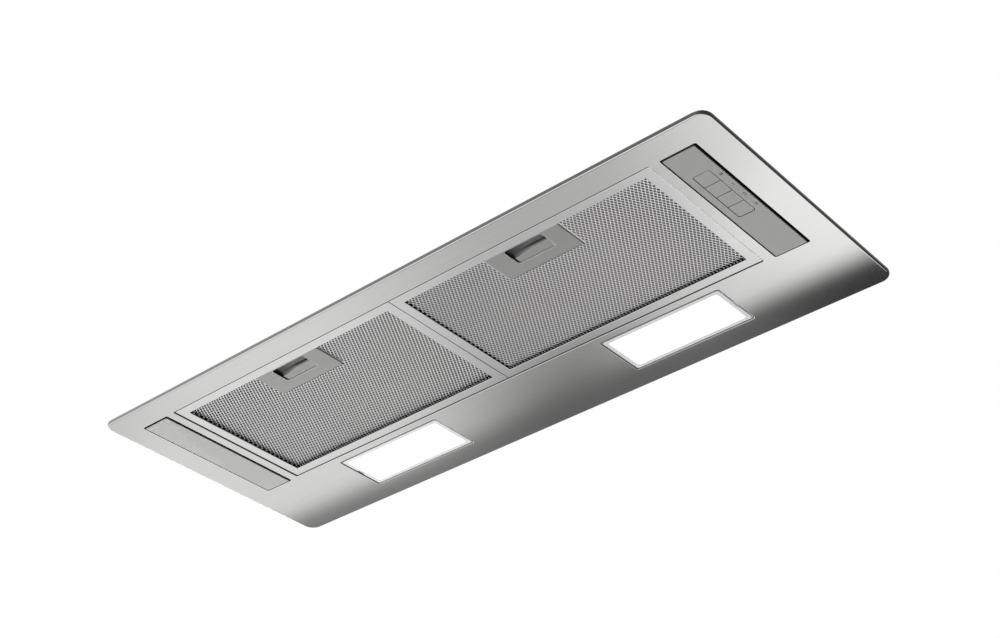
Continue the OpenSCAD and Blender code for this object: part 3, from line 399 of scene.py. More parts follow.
def moulded_skin():
    """The fine spark-eroded skin of moulded plastic."""
    tree, given = new_group("Shader", "Moulded skin", {"Vector": "Vector", "Scale": 1800.0})
    noise = made(tree, "TexNoise", {**given, "Detail": 3.0})
    cells = made(tree, "TexVoronoi", given, feature="SMOOTH_F1")
    return put_out(tree, "Float", Tone=noise, Height=cells * 0.5 + noise)


def edge_wear():
    """Where an outer edge has rubbed bright, broken up by noise."""
    tree, given = new_group("Shader", "Edge wear", {"Vector": "Vector", "Scale": 150.0})
    sharp = mapped(made(tree, "NewGeometry", output="Pointiness"), 0.52, 0.62)
    noise = made(tree, "TexNoise", {**given, "Detail": 3.0})
    return put_out(tree, "Float", Mask=sharp * mapped(noise, 0.3, 0.7, 0.2, 1.0))


def zinc_spangle():
    """The crystal patches of hot dip galvanised sheet."""
    tree, given = new_group("Shader", "Zinc spangle", {"Vector": "Vector", "Scale": 90.0})
    warp = made(tree, "TexNoise", given, output="Color")
    place = made(tree, "VectorMath", {0: warp, 1: (0.006, 0.006, 0.006), 2: given["Vector"]},
                 operation="MULTIPLY_ADD")
    large, small = (
        add(tree, "TexVoronoi", {"Vector": place, "Scale": given["Scale"] * fineness}).outputs
        for fineness in (1.0, 2.3)
    )
    tones = [made(tree, "SeparateColor", {0: Value(cells["Color"])}) for cells in (large, small)]
    return put_out(tree, "Float", Tone=tones[1] * 0.35 + tones[0] * 0.65 - Value(small["Distance"]) * 0.35)


GROUPS = {make: make() for make in (brushed_grain, soft_marks, moulded_skin, edge_wear, zinc_spangle)}


class Finish:
    """A material with one Principled shader, built from the shared groups."""

    def __init__(self, name, **constants):
        self.material = bpy.data.materials.new(name)
        self.material.use_nodes = True
        self.tree = self.material.node_tree
        self.shader = self.tree.nodes["Principled BSDF"]
        coordinates = add(self.tree, "TexCoord").outputs
        self.place = Value(coordinates["Object"])
        self.spot = split(self.place)
        self.facing = split(Value(coordinates["Normal"]))
        for key, value in constants.items():
            self.shader.inputs[key.replace("_", " ")].default_value = value

    def group(self, make, **values):
        """The named outputs of a shared group, placed with its own values."""
        node = add(self.tree, "Group", {"Vector": self.place, **values}, node_tree=GROUPS[make])
        return {socket.name: Value(socket) for socket in node.outputs}

    def link(self, value, socket):
        self.tree.links.new(value.socket, self.shader.inputs[socket])

    def closed(self, colour, marks, rough, height, strength, distance):
        """Links the colour, the roughness that the marks carry between two values, and the bump."""
        self.link(colour, "Base Color")
        self.link(mapped(marks, 0.0, 1.0, *rough), "Roughness")
        if distance:
            self.link(made(self.tree, "Bump", {
                "Height": height, "Strength": strength, "Distance": distance,
            }), "Normal")
        return self.material


def metal(name, dark, light, rough, length=24.0, fineness=900.0, grain_depth=0.0, wear=0.0, painted_side_shade=0.0):
    """Bright metal: brushed or rolled grain, soft marks and rubbed edges; painted shade on sides that lie in
    a gap, and a painted highlight on right-facing sides at the far right end.
    """
    finish = Finish(name, Metallic=1.0)
    grain = finish.group(brushed_grain, Length=length, Fineness=fineness)
    marks = finish.group(soft_marks)["Mask"]
    colour = tinted(mapped(grain["Tone"], 0.3, 0.7), dark, light)
    if wear:
        colour = tinted(finish.group(edge_wear)["Mask"] * wear, colour, grey(0.85))
    if painted_side_shade:
        # Painted shade: sides that lie in a gap between parts are darkened to near black.
        painted_gap_shade = reach(finish.spot.x, FILTER_W - 5 * MM, FILTER_W - 10 * MM) * painted_side_shade
        colour = tinted(reach(abs(finish.facing.z), 0.75, 0.5) * painted_gap_shade, colour, grey(0.01))
        # Painted highlight: right-facing sides at the far right end are turned white.
        lit = reach(finish.spot.x, FILTER_W - 6 * MM, FILTER_W - 4 * MM) * reach(finish.facing.x, 0.05, 0.2)
        colour = tinted(lit, colour, grey(1.0))
    return finish.closed(colour, marks, rough, grain["Height"], 0.25, grain_depth)


def expanded_foil(name, tone):
    """Bright rolled aluminium of the filter's expanded mesh."""
    dark, light = grey(tone - 0.03), grey(min(tone + 0.03, 1.0))
    return metal(name, dark, light, (0.34, 0.44), length=300.0, fineness=500.0)


def stainless_panel():
    """Brushed stainless sheet with painted light: the folded rim's sides are painted dark, lighter near the
    top and darker towards the right; a painted highlight lies on the bends and the left-facing walls, and
    painted shade on rear-facing surfaces and in a thin line near the front edge.
    """
    finish = Finish("brushed stainless panel", Anisotropic=0.5)
    x, y, z = finish.spot
    facing = finish.facing
    grain = finish.group(brushed_grain, Length=18.0, Fineness=700.0)
    marks = finish.group(soft_marks, Scale=5.0)["Mask"]
    colour = tinted(mapped(grain["Tone"], 0.3, 0.7), (0.628, 0.625, 0.618, 1), (0.662, 0.659, 0.652, 1))
    flat = abs(facing.z)
    # Painted highlight: the bends' rounding is lightened to near white, more where it turns to the right.
    rightward = reach(facing.x, 0.01, 0.08) * reach(x, 0.35, 0.34)
    turned = reach(flat, 0.999, 0.985) * reach(y, 0.11, 0.09) * blend_of(rightward, 0.4, 1.0)
    colour = tinted(turned, colour, grey(0.95))
    # Painted highlight: left-facing walls are turned light grey, so they look like a bright edge.
    leftward = reach(facing.x, -0.04, -0.2) * reach(x, 0.295, 0.29)
    colour = tinted(leftward, colour, grey(0.9))
    # Painted shade: surfaces facing the rear, such as the openings' front bends, are darkened to near black.
    colour = tinted(reach(facing.y, 0.02, 0.12), colour, grey(0.05))
    # Painted shade: a thin darker line on the face, 2.2 mm in from the front edge.
    painted_crease_shade = reach(abs(y + (FACE_D / 2 - SHADE_LINE_IN)), 0.8 * MM, 0.2 * MM)
    colour = tinted(painted_crease_shade * 0.35, colour, grey(0.2))
    # Painted shade and highlight: the rim's front side is dark, darker towards the right, and light near its
    # top edge.
    rim_front_painted_light = blend_of(reach(z, 3.4 * MM, 4.2 * MM), mapped(x, -0.32, 0.32, 0.30, 0.11), 0.9)
    rim_side_painted_shade = blend_of(reach(facing.x, 0.2, 0.7), rim_front_painted_light, 0.03)
    # Painted shade: steep and right-facing surfaces take the painted rim tones, the right-facing ones nearly
    # black.
    sideways = calculated("MAXIMUM", reach(flat, 0.92, 0.82), reach(facing.x, 0.12, 0.3))
    colour = tinted(sideways, colour, rim_side_painted_shade)
    # The painted highlight on left-facing walls also takes their metal away.
    finish.link(1.0 - leftward, "Metallic")
    finish.link(made(finish.tree, "Tangent", direction_type="UV_MAP", uv_map="grain"), "Tangent")
    return finish.closed(colour, marks, (0.075, 0.09), grain["Height"], 0.08, 0.018 * MM)


def plastic(name, colour, rough, skin_scale=1800.0, edge_light=0.0, painted_side_shade=0.0):
    """Moulded plastic: fine skin and faint marks; with edge_light, a painted highlight on rounded edges at
    the face and painted shade deeper in the pocket, darker towards its left end; and painted shade on sides
    that lie in a gap.
    """
    finish = Finish(name, Specular_IOR_Level=0.5)
    skin = finish.group(moulded_skin, Scale=skin_scale)
    marks = finish.group(soft_marks, Scale=9.0)["Mask"]
    low, high = ((*(min(1.0, channel * share) for channel in colour), 1) for share in (0.94, 1.06))
    shade = tinted(skin["Tone"], low, high)
    flat = abs(finish.facing.z)
    if edge_light:
        x, z = finish.spot.x, finish.spot.z
        # Painted highlight, not wear: rounded edges at the face level are lightened.
        rubbed = reach(flat, 0.995, 0.93) * reach(z, FILTER_Z + 1.1 * MM, FILTER_Z + 0.9 * MM)
        # Painted shade: darker the deeper a surface lies in the pocket, and more so towards its left end.
        leftward = reach(x - calculated("SIGN", x) * FILTER_X, 4 * MM, -14 * MM)
        deep = reach(z, FILTER_Z + 1.2 * MM, FILTER_Z + 3.4 * MM) * 0.72 * (leftward * 0.3 + 1.0)
        shade = tinted(deep, shade, grey(0.01))
        shade = tinted(rubbed * edge_light, shade, grey(0.85))
    # Painted shade: sides that lie in a gap are darkened to near black.
    if painted_side_shade:
        shade = tinted(reach(flat, 0.95, 0.8) * painted_side_shade, shade, grey(0.01))
    return finish.closed(shade, marks, (rough - 0.04, rough + 0.06), skin["Height"], 0.3, 0.012 * MM)


def galvanised():
    """Galvanised sheet of the body, with its spangle."""
    finish = Finish("galvanised sheet", Metallic=0.9)
    spangle = finish.group(zinc_spangle, Scale=95.0)["Tone"]
    marks = finish.group(soft_marks, Scale=7.0)["Mask"]
    colour = tinted(spangle, (0.50, 0.515, 0.53, 1), (0.62, 0.63, 0.64, 1))
    colour = tinted(finish.group(edge_wear)["Mask"] * 0.4, colour, grey(0.8))
    changes = mapped(spangle * 0.6 + marks, 0.0, 1.5)
    return finish.closed(colour, changes, (0.30, 0.50), spangle + marks, 0.12, 0.05 * MM)


def opal_lamp(name, side):
    """Lit opal cover: evenly white, greyer in the band along its edge where the light thins out."""
    finish = Finish(name, Roughness=0.25, Emission_Strength=1.0)
    across = COVER_W / 2 - abs(finish.spot.x - side * LAMP_X)
    deep = COVER_D / 2 - abs(finish.spot.y - LAMP_Y)
    margin = calculated("SMOOTH_MIN", across, deep, 5 * MM)
    border = reach(margin, 0.4 * MM, 1.2 * MM) * 0.22
    # Painted shade: a thin dimmer line in the glow, about 3 mm in from the cover's edge.
    painted_crease_shade = reach(margin, 2.7 * MM, 3.1 * MM) * reach(margin, 3.7 * MM, 3.3 * MM)
    glow = reach(margin, 2.9 * MM, 7.2 * MM) * 0.8 + (border - painted_crease_shade * 0.14)
    skin = finish.group(moulded_skin, Scale=700.0)["Tone"]
    finish.link(tinted(glow, grey(0.0), (1, 1, 0.995, 1)), "Emission Color")
    finish.link(tinted(skin, grey(0.40), grey(0.46)), "Base Color")
    return finish.material


def shaded_filter_core():
    """Layers of expanded foil seen through the front mesh, painted near black: painted shade standing in for
    the dark inside the filter.
    """
    finish = Finish("filter foil layers", Specular_IOR_Level=0.1)
    cells = made(finish.tree, "TexVoronoi", {"Vector": finish.place, "Scale": 420.0})
    marks = finish.group(soft_marks, Scale=40.0)["Mask"]
    # Painted shade: the foil's colour is near black.
    colour = tinted(mapped(marks * 0.3 + cells, 0.1, 0.8), grey(0.004), grey(0.02))
    return finish.closed(colour, marks, (0.45, 0.65), cells, 0.6, 0.4 * MM)


strip_grey = (0.335, 0.332, 0.323)
box_grey = (0.42, 0.415, 0.405)
finishes = {
    "stainless": stainless_panel(),
    "galvanised": galvanised(),
    # The strips, buttons and filter frames get painted shade on their sides; the filter frames also a painted
    # highlight at the far right.
    "strip_plastic": plastic("strip plastic", strip_grey, 0.42, painted_side_shade=0.97),
    "button_plastic": plastic("button plastic", strip_grey, 0.40, skin_scale=2200.0, painted_side_shade=0.8),
    "filter_frame": metal("anodised filter frame", (0.665, 0.665, 0.66, 1), (0.725, 0.725, 0.72, 1),
                          (0.15, 0.19), length=30.0, fineness=1100.0, grain_depth=0.02 * MM, wear=0.4,
                          painted_side_shade=0.9),
    "filter_mesh": expanded_foil("expanded filter mesh", 0.94),
    "filter_core": shaded_filter_core(),
    # The handle plastic gets a painted highlight on its edges and painted shade deeper in its pocket.
    "handle_plastic": plastic("handle plastic", (0.245, 0.243, 0.238), 0.45, edge_light=0.7),
    "lamp_diffuser": plastic("lamp diffuser", (0.75, 0.75, 0.74), 0.3),
    "white_plastic": plastic("white plastic", (0.75, 0.75, 0.73), 0.4),
    "board_green": plastic("green circuit board", (0.03, 0.20, 0.08), 0.35),
    "led_board": plastic("white lamp board", (0.80, 0.80, 0.77), 0.3),
    "zinc_steel": metal("zinc plated steel", (0.55, 0.56, 0.58, 1), (0.70, 0.71, 0.72, 1), (0.25, 0.4),
                        length=400.0, wear=0.5),
    "blower_plastic": plastic("blower casing plastic", (0.10, 0.10, 0.105), 0.45),
    "impeller_plastic": plastic("impeller plastic", box_grey, 0.45),
    "motor_steel": metal("motor steel", (0.45, 0.45, 0.46, 1), (0.60, 0.60, 0.61, 1), (0.3, 0.45)),
    "winding": metal("enamelled winding", (0.50, 0.20, 0.08, 1), (0.62, 0.27, 0.12, 1), (0.3, 0.45),
                     length=900.0),
    "bearing_bronze": metal("bearing bronze", (0.48, 0.33, 0.15, 1), (0.58, 0.42, 0.2, 1), (0.3, 0.4)),
    "rubber_black": plastic("black rubber", (0.025, 0.025, 0.025), 0.7),
    "black_plastic": plastic("black plastic", (0.035, 0.035, 0.036), 0.4),
    "wire_black": plastic("wire insulation", (0.03, 0.03, 0.03), 0.5),
    "capacitor_case": plastic("capacitor case", (0.72, 0.72, 0.70), 0.35),
    "box_grey": plastic("terminal box plastic", box_grey, 0.45),
}


# Pieces made in mesh code

def outline(width, depth, radii, centre=(0, 0), wider=0.0, steps=6):
    """Points round a rectangle with round corners, grown all round, the same number for any radii."""
    if not isinstance(radii, list):
        radii = [radii] * 4
    points = []
    for corner, (sx, sy) in enumerate(((1, 1), (-1, 1), (-1, -1), (1, -1))):
        r = max(radii[corner] + wider, 0.01 * MM)
        cx = centre[0] + sx * (width / 2 + wider - r)
        cy = centre[1] + sy * (depth / 2 + wider - r)
        for step in range(steps + 1):
            angle = radians(90) * (corner + step / steps)
            points.append((cx + r * cos(angle), cy + r * sin(angle)))
    return points


def join_rings(mesh, rings):
    """Faces between each ring and the next."""
    for low, high in zip(rings, rings[1:]):
        for i in range(len(low)):
            j = (i + 1) % len(low)
            mesh.faces.new((low[i], low[j], high[j], high[i]))


def stacked(mesh, shape, levels):
    """Joined rings of one outline, each as much wider and as high as its level says."""
    rings = [[mesh.verts.new((*point, z)) for point in outline(*shape, wider=wider)] for wider, z in levels]
    join_rings(mesh, rings)
    return rings


def arc_path(radius, steps=5):
    """Steps round a quarter circle: how far in from the wall, and how far up from the face."""
    turns = [radians(90) * step / steps for step in range(steps + 1)]
    return [(radius * (1 - sin(turn)), radius * (1 - cos(turn))) for turn in turns]


def turned_edge(mesh, shape, way, bend_r, support, z, ends, steps=5):
    """A sheet's edge, turned up round an opening (way 1) or round its outside (way -1).

    It starts with a narrow flat ring, which it gives back as edges for the face to be filled in.
    """
    levels = [(way * (bend_r + support), z)] + [(way * away, z + up) for away, up in arc_path(bend_r, steps)]
    start = stacked(mesh, shape, levels + ends)[0]
    return [mesh.edges.get((start[i - 1], start[i])) for i in range(len(start))]


def new_piece(name, data):
    piece = bpy.data.objects.new(name, data)
    bpy.context.scene.collection.objects.link(piece)
    return piece


def flattened(piece):
    """Replaces a piece's mesh by the one that its modifiers make."""
    bpy.context.view_layer.update()
    evaluated = piece.evaluated_get(bpy.context.evaluated_depsgraph_get())
    piece.data = bpy.data.meshes.new_from_object(evaluated)
    piece.modifiers.clear()
    return piece


def smoothed(piece, smooth_angle):
    """Applies a piece's modifiers and shades it smooth up to an angle."""
    data = flattened(piece).data
    data.polygons.foreach_set("use_smooth", [True] * len(data.polygons))
    data.set_sharp_from_angle(angle=radians(smooth_angle))
    piece.modifiers.new("weight", "WEIGHTED_NORMAL").keep_sharp = True
    return flattened(piece)


def modified(name, mesh, smooth_angle, modifiers):
    """Turns a bmesh into a plain mesh object, with its modifiers applied."""
    data = bpy.data.meshes.new(name)
    mesh.to_mesh(data)
    mesh.free()
    piece = new_piece(name, data)
    for kind, settings in modifiers:
        modifier = piece.modifiers.new(kind.lower(), kind)
        for key, value in settings.items():
            setattr(modifier, key, value)
    return smoothed(piece, smooth_angle)


def finished(name, mesh, smooth_angle=35.0, modifiers=(), flip_to=None):
    """A piece from a bmesh whose faces look outwards, or the way its largest face is told to."""
    bmesh.ops.remove_doubles(mesh, verts=mesh.verts, dist=WELD)
    bmesh.ops.recalc_face_normals(mesh, faces=mesh.faces)
    if flip_to is not None:
        largest = max(mesh.faces, key=lambda face: face.calc_area())
        if largest.normal.dot(flip_to) < 0:
            bmesh.ops.reverse_faces(mesh, faces=mesh.faces)
    return modified(name, mesh, smooth_angle, modifiers)


def sheet(name, mesh, edges, thickness, **settings):
    """A moulded or pressed sheet: fills its face between its edges, and thickens it upwards."""
    bmesh.ops.triangle_fill(mesh, use_beauty=True, edges=edges)
    settings.update(thickness=thickness, offset=-1.0)
    return finished(name, mesh, 30.0, [("SOLIDIFY", settings)], flip_to=-UP)


def face_panel():
    """The stainless panel, one sheet: face, rim, hem, and the turned edges of its openings."""
    mesh = bmesh.new()
    hem = [(-away, RIM_Z - down) for away, down in reversed(arc_path(HEM_BEND_R))] + [(-HEM_W, RIM_Z)]
    edges = turned_edge(mesh, (FACE_W, FACE_D, CORNER_R), -1, BEND_R, PANEL_SUPPORT, FACE_Z, hem, 7)
    back = FACE_Z + SHEET_T
    openings = [((OPENING_W, OPENING_D, OPENING_CORNER_R, (0, OPENING_Y)), LIP_BEND_R, FACE_Z + LIP_H)]
    strip_w, strip_d = STRIP_W + STRIP_GAP_RIGHT + STRIP_GAP_LEFT, STRIP_D + STRIP_GAP_REAR
    for side in SIDES.values():
        centre = (side * STRIP_X + (STRIP_GAP_RIGHT - STRIP_GAP_LEFT) / 2, STRIP_Y + STRIP_GAP_REAR / 2)
        openings.append(((strip_w, strip_d, STRIP_CORNER_R, centre), STRIP_BEND_R, back))
        openings.append(((LAMP_W, LAMP_D, LAMP_CORNER_R, (side * LAMP_X, LAMP_Y)), LAMP_BEND_R, back))
    for shape, bend_r, end_z in openings:
        edges += turned_edge(mesh, shape, 1, bend_r, OPENING_SUPPORT, FACE_Z, [(0, end_z)])
    panel = sheet("panel_sheet", mesh, edges, PANEL_T, use_even_offset=True)
    lay_grain(panel)
    return panel


def lay_grain(piece):
    """A flat map along the brushing, which runs along X, or along Y on the ends."""
    layer = piece.data.uv_layers.new(name="grain")
    for polygon in piece.data.polygons:
        normal = [abs(value) for value in polygon.normal]
        axes = (1, 2) if normal[0] > max(normal[1:]) else ((0, 2) if normal[1] > normal[2] else (0, 1))
        for loop in polygon.loop_indices:
            point = piece.data.vertices[piece.data.loops[loop].vertex_index].co
            layer.data[loop].uv = (point[axes[0]], point[axes[1]])


def strip(side, slotted):
    """A plastic strip with a round edge, and a slot for the buttons."""
    mesh = bmesh.new()
    width, depth = STRIP_W - 2 * STRIP_GAP, STRIP_D - 2 * STRIP_GAP + STRIP_GAP_REAR / 2
    shape = (width, depth, STRIP_CORNER_R, (side * STRIP_X, STRIP_Y + STRIP_GAP_REAR / 4))
    edges = turned_edge(mesh, shape, -1, STRIP_ROUND, EDGE_SUPPORT, PRINT_DEPTH, [(0, STRIP_TOP_Z)])
    if slotted:
        slot_d = len(BUTTONS) * BUTTON_PITCH
        slot = (BUTTON_W + 2 * BUTTON_GAP, slot_d + BUTTON_GAP, BUTTON_CORNER_R,
                (BUTTON_X, BUTTON_Y0 + slot_d / 2))
        edges += turned_edge(mesh, slot, 1, SLOT_BEND_R, SLOT_BEND_R, PRINT_DEPTH, [(0, SLOT_H)])
    return sheet("control_strip_shell" if slotted else "blank_strip_shell", mesh, edges, STRIP_WALL)


def button(index):
    """A push button's cap, with the slot's round corners on the end ones, and its stem."""
    mesh = bmesh.new()
    centre = (BUTTON_X, BUTTON_Y0 + (index + 0.5) * BUTTON_PITCH)
    rear_r = BUTTON_CORNER_R if index == len(BUTTONS) - 1 else 0
    front_r = BUTTON_CORNER_R if index == 0 else 0
    cap = (BUTTON_W, BUTTON_PITCH - BUTTON_GAP, [rear_r, rear_r, front_r, front_r], centre)
    cap_path = [(-away, BUTTON_Z + up) for away, up in arc_path(BUTTON_BEND_R, 3) + [(0, BUTTON_T)]]
    stem = (2 * STEM_R, 2 * STEM_R, STEM_R, centre)
    for shape, levels in ((cap, cap_path), (stem, [(0, BUTTON_Z + BUTTON_T), (0, STEM_TOP_Z)])):
        rings = stacked(mesh, shape, levels)
        mesh.faces.new(rings[0])
        mesh.faces.new(rings[-1])
    return finished(BUTTONS[index] + "_cap", mesh)


def filter_frame(name, side):
    """The filter's border, folded to a channel, with its rear tabs and the slot of its latch."""
    mesh = bmesh.new()
    face_back, back_face = FRAME_FACE_T - FACE_DROP, FILTER_T - FRAME_BACK_T
    profile = [(away, up - FACE_DROP) for away, up in reversed(arc_path(FRAME_FOLD_R, 3))]
    profile += [(BORDER - away, up - FACE_DROP) for away, up in arc_path(FRAME_INNER_R, 3)]
    profile += [(BORDER, face_back), (FRAME_WALL, face_back), (FRAME_WALL, back_face), (BORDER, back_face),
                (BORDER, FILTER_T), (FRAME_BACK_CHAMFER, FILTER_T), (0, FILTER_T - FRAME_BACK_CHAMFER)]
    corners = []
    for sx, sy in ((1, 1), (-1, 1), (-1, -1), (1, -1)):
        corner_x = FILTER_W / 2 + (FRAME_RIGHT_OUT if sx == side == 1 else 0)
        corner_y = FILTER_D / 2 + (FRAME_REAR_OUT if sy == 1 else 0)
        corners.append([
            mesh.verts.new((side * FILTER_X + sx * (corner_x - away), OPENING_Y + sy * (corner_y - away),
                            FILTER_Z + up)) for away, up in profile
        ])
    join_rings(mesh, corners + corners[:1])
    border = finished(name, mesh, 30.0)
    cutter = block((side * FILTER_X, OPENING_Y - FILTER_D / 2, FILTER_Z + TONGUE_Z + TONGUE_H / 2),
                   (TONGUE_W, CUTTER_D, TONGUE_H))
    modifier = border.modifiers.new("slot", "BOOLEAN")
    modifier.object, modifier.operation, modifier.solver = cutter, "DIFFERENCE", "EXACT"
    smoothed(border, 30.0)
    bpy.data.objects.remove(cutter)
    tab_y, tab_z = OPENING_Y + FILTER_D / 2 + (TAB_REACH - FRAME_WALL) / 2, FILTER_Z + TAB_Z + TAB_T / 2
    tab_size = (TAB_W, TAB_REACH + FRAME_WALL, TAB_T)
    return merged([border] + [
        block((side * FILTER_X + s * TAB_SHARE * FILTER_W, tab_y, tab_z), tab_size, TAB_EASE) for s in (-1, 1)
    ])


def block(centre, size, bevel=0.0):
    """A block with its place in its mesh, and its edges eased."""
    mesh = bmesh.new()
    bmesh.ops.create_cube(mesh, size=1.0, matrix=Matrix.Translation(centre) @ Matrix.Diagonal((*size, 1)))
    return finished("block", mesh, modifiers=[("BEVEL", {"width": bevel, "segments": 2})] if bevel else [])


def merged(pieces):
    """Joins pieces into the first one's mesh."""
    mesh = bmesh.new()
    for piece in pieces:
        mesh.from_mesh(piece.data)
    mesh.to_mesh(pieces[0].data)
    mesh.free()
    for piece in pieces[1:]:
        bpy.data.objects.remove(piece)
    return pieces[0]


def node_mesh(node):
    """A CAD node's mesh, with its corners joined."""
    mesh = bmesh.new()
    mesh.from_mesh(frame["nodes"][node].data)
    bmesh.ops.remove_doubles(mesh, verts=mesh.verts, dist=NODE_WELD)
    return mesh


def eased(node, name, width, segments=2, least=None):
    """A copy of a CAD node with its sharp edges eased, or only its outer corners longer than a length."""
    mesh = node_mesh(node)
    bmesh.ops.dissolve_limit(mesh, angle_limit=radians(0.5), verts=mesh.verts, edges=mesh.edges)
    sharp = radians(35)
    if least:
        weights = mesh.edges.layers.float.new("bevel_weight_edge")
        for edge in mesh.edges:
            corner = len(edge.link_faces) == 2 and edge.calc_face_angle_signed() > sharp
            edge[weights] = 1.0 if corner and edge.calc_length() > least else 0.0
    limit = "WEIGHT" if least else "ANGLE"
    return modified(name, mesh, 35.0, [
        ("BEVEL", {"width": width, "segments": segments, "limit_method": limit, "angle_limit": sharp}),
    ])


def screw_places(node, head_h):
    """A mesh of one point for each screw of a CAD node: the middle of its head's underside."""
    mesh = node_mesh(node)
    left = set(mesh.verts)
    places = []
    while left:
        screw, fresh = set(), [left.pop()]
        while fresh:
            vert = fresh.pop()
            screw.add(vert)
            near = {edge.other_vert(vert) for edge in vert.link_edges} & left
            left -= near
            fresh += near
        low = [min(vert.co[axis] for vert in screw) for axis in range(3)]
        high = [max(vert.co[axis] for vert in screw) for axis in range(3)]
        places.append(((low[0] + high[0]) / 2, (low[1] + high[1]) / 2, high[2] - head_h))
    mesh.free()
    points = bpy.data.meshes.new(node + "_places")
    points.from_pydata(sorted(places), [], [])
    return points


def grown(name, tree, values, seed=None):
    """A plain mesh grown by a Geometry Nodes tree, its inputs set by their identifiers."""
    piece = new_piece(name, seed or bpy.data.meshes.new(name))
    modifier = piece.modifiers.new("growth", "NODES")
    modifier.node_group = tree
    for item in tree.interface.items_tree:
        if item.item_type == "SOCKET" and item.in_out == "INPUT" and item.name in values:
            modifier[item.identifier] = values[item.name]
    return flattened(piece)


def put_out_mesh(tree, mesh, material):
    """Ends a Geometry Nodes tree: plain mesh with its material."""
    plain = grow(tree, "RealizeInstances", {"Geometry": mesh})
    done = grow(tree, "SetMaterial", {"Geometry": plain, "Material": material})
    return put_out(tree, "Geometry", Geometry=done)


def swept_along(curve, profile):
    return grow(curve.tree, "CurveToMesh", {
        "Curve": curve, "Profile Curve": profile, "Fill Caps": True,
    })


def screw_tree():
    """Geometry Nodes: pan head screws with a cross recess, one on each point."""
    tree, given = new_group("Geometry", "Pan head screws", {
        "Geometry": "Geometry", "Head Radius": 0.0036, "Head Height": 0.0022, "Shank Radius": 0.002,
        "Shank Length": 0.005, "Recess Width": 0.0009, "Recess Depth": 0.0012, "Material": "Material",
    })
    radius, width = given["Head Radius"], given["Recess Width"]
    half = given["Head Height"] * 0.5

    def raised(mesh, height, scale=(1, 1, 1)):
        return grow(tree, "Transform", {
            "Geometry": mesh, "Scale": scale, "Translation": combined(tree, z=height),
        })

    def drum(radius, depth):
        return grow(tree, "MeshCylinder", {"Vertices": 20, "Radius": radius, "Depth": depth})

    def bar(x, y):
        size = combined(tree, x, y, given["Recess Depth"] * 2.0)
        return raised(grow(tree, "MeshCube", {"Size": size}), given["Head Height"])

    ball = grow(tree, "MeshUVSphere", {"Segments": 20, "Rings": 12, "Radius": radius})
    crown = raised(ball, half, combined(tree, 1.0, 1.0, half / radius))
    head = grow(tree, "MeshBoolean", {"Mesh 2": [crown, raised(drum(radius, half), half * 0.5)]},
                operation="UNION", solver="EXACT")
    arm = radius * 1.05
    cross = [bar(arm, width), bar(width, arm)]
    cut = grow(tree, "MeshBoolean", {"Mesh 1": head, "Mesh 2": cross}, operation="DIFFERENCE",
               solver="EXACT")
    shank = raised(drum(given["Shank Radius"], given["Shank Length"]), given["Shank Length"] * -0.5)
    whole = grow(tree, "JoinGeometry", {"Geometry": [cut, shank]})
    turn = made(tree, "FunctionNodeRandomValue", {"Max": (0, 0, HALF_TURN), "Seed": 7},
                data_type="FLOAT_VECTOR")
    copies = grow(tree, "InstanceOnPoints", {
        "Points": given["Geometry"], "Instance": whole, "Rotation": turn,
    })
    return put_out_mesh(tree, copies, given["Material"])


def handle_plate(name, side):
    """The plate behind the frame's front bar, with the eased mouth of its finger pocket."""
    mesh = bmesh.new()
    x, z = side * FILTER_X, FILTER_Z
    plate = (PLATE_W, PLATE_D, PLATE_CORNER_R, (x, PLATE_Y + PLATE_D / 2))
    pocket = (POCKET_W, POCKET_D, POCKET_CORNER_R, (x + POCKET_SHIFT, PLATE_Y + POCKET_FRONT + POCKET_D / 2))
    edges = turned_edge(mesh, plate, -1, PLATE_BEND_R, EDGE_SUPPORT, z, [(0, z + FILTER_T)], 3)
    edges += turned_edge(mesh, pocket, 1, POCKET_BEND_R, OPENING_SUPPORT, z, [(0, z + HANDLE_WALL)])
    return sheet(name, mesh, edges, HANDLE_WALL)


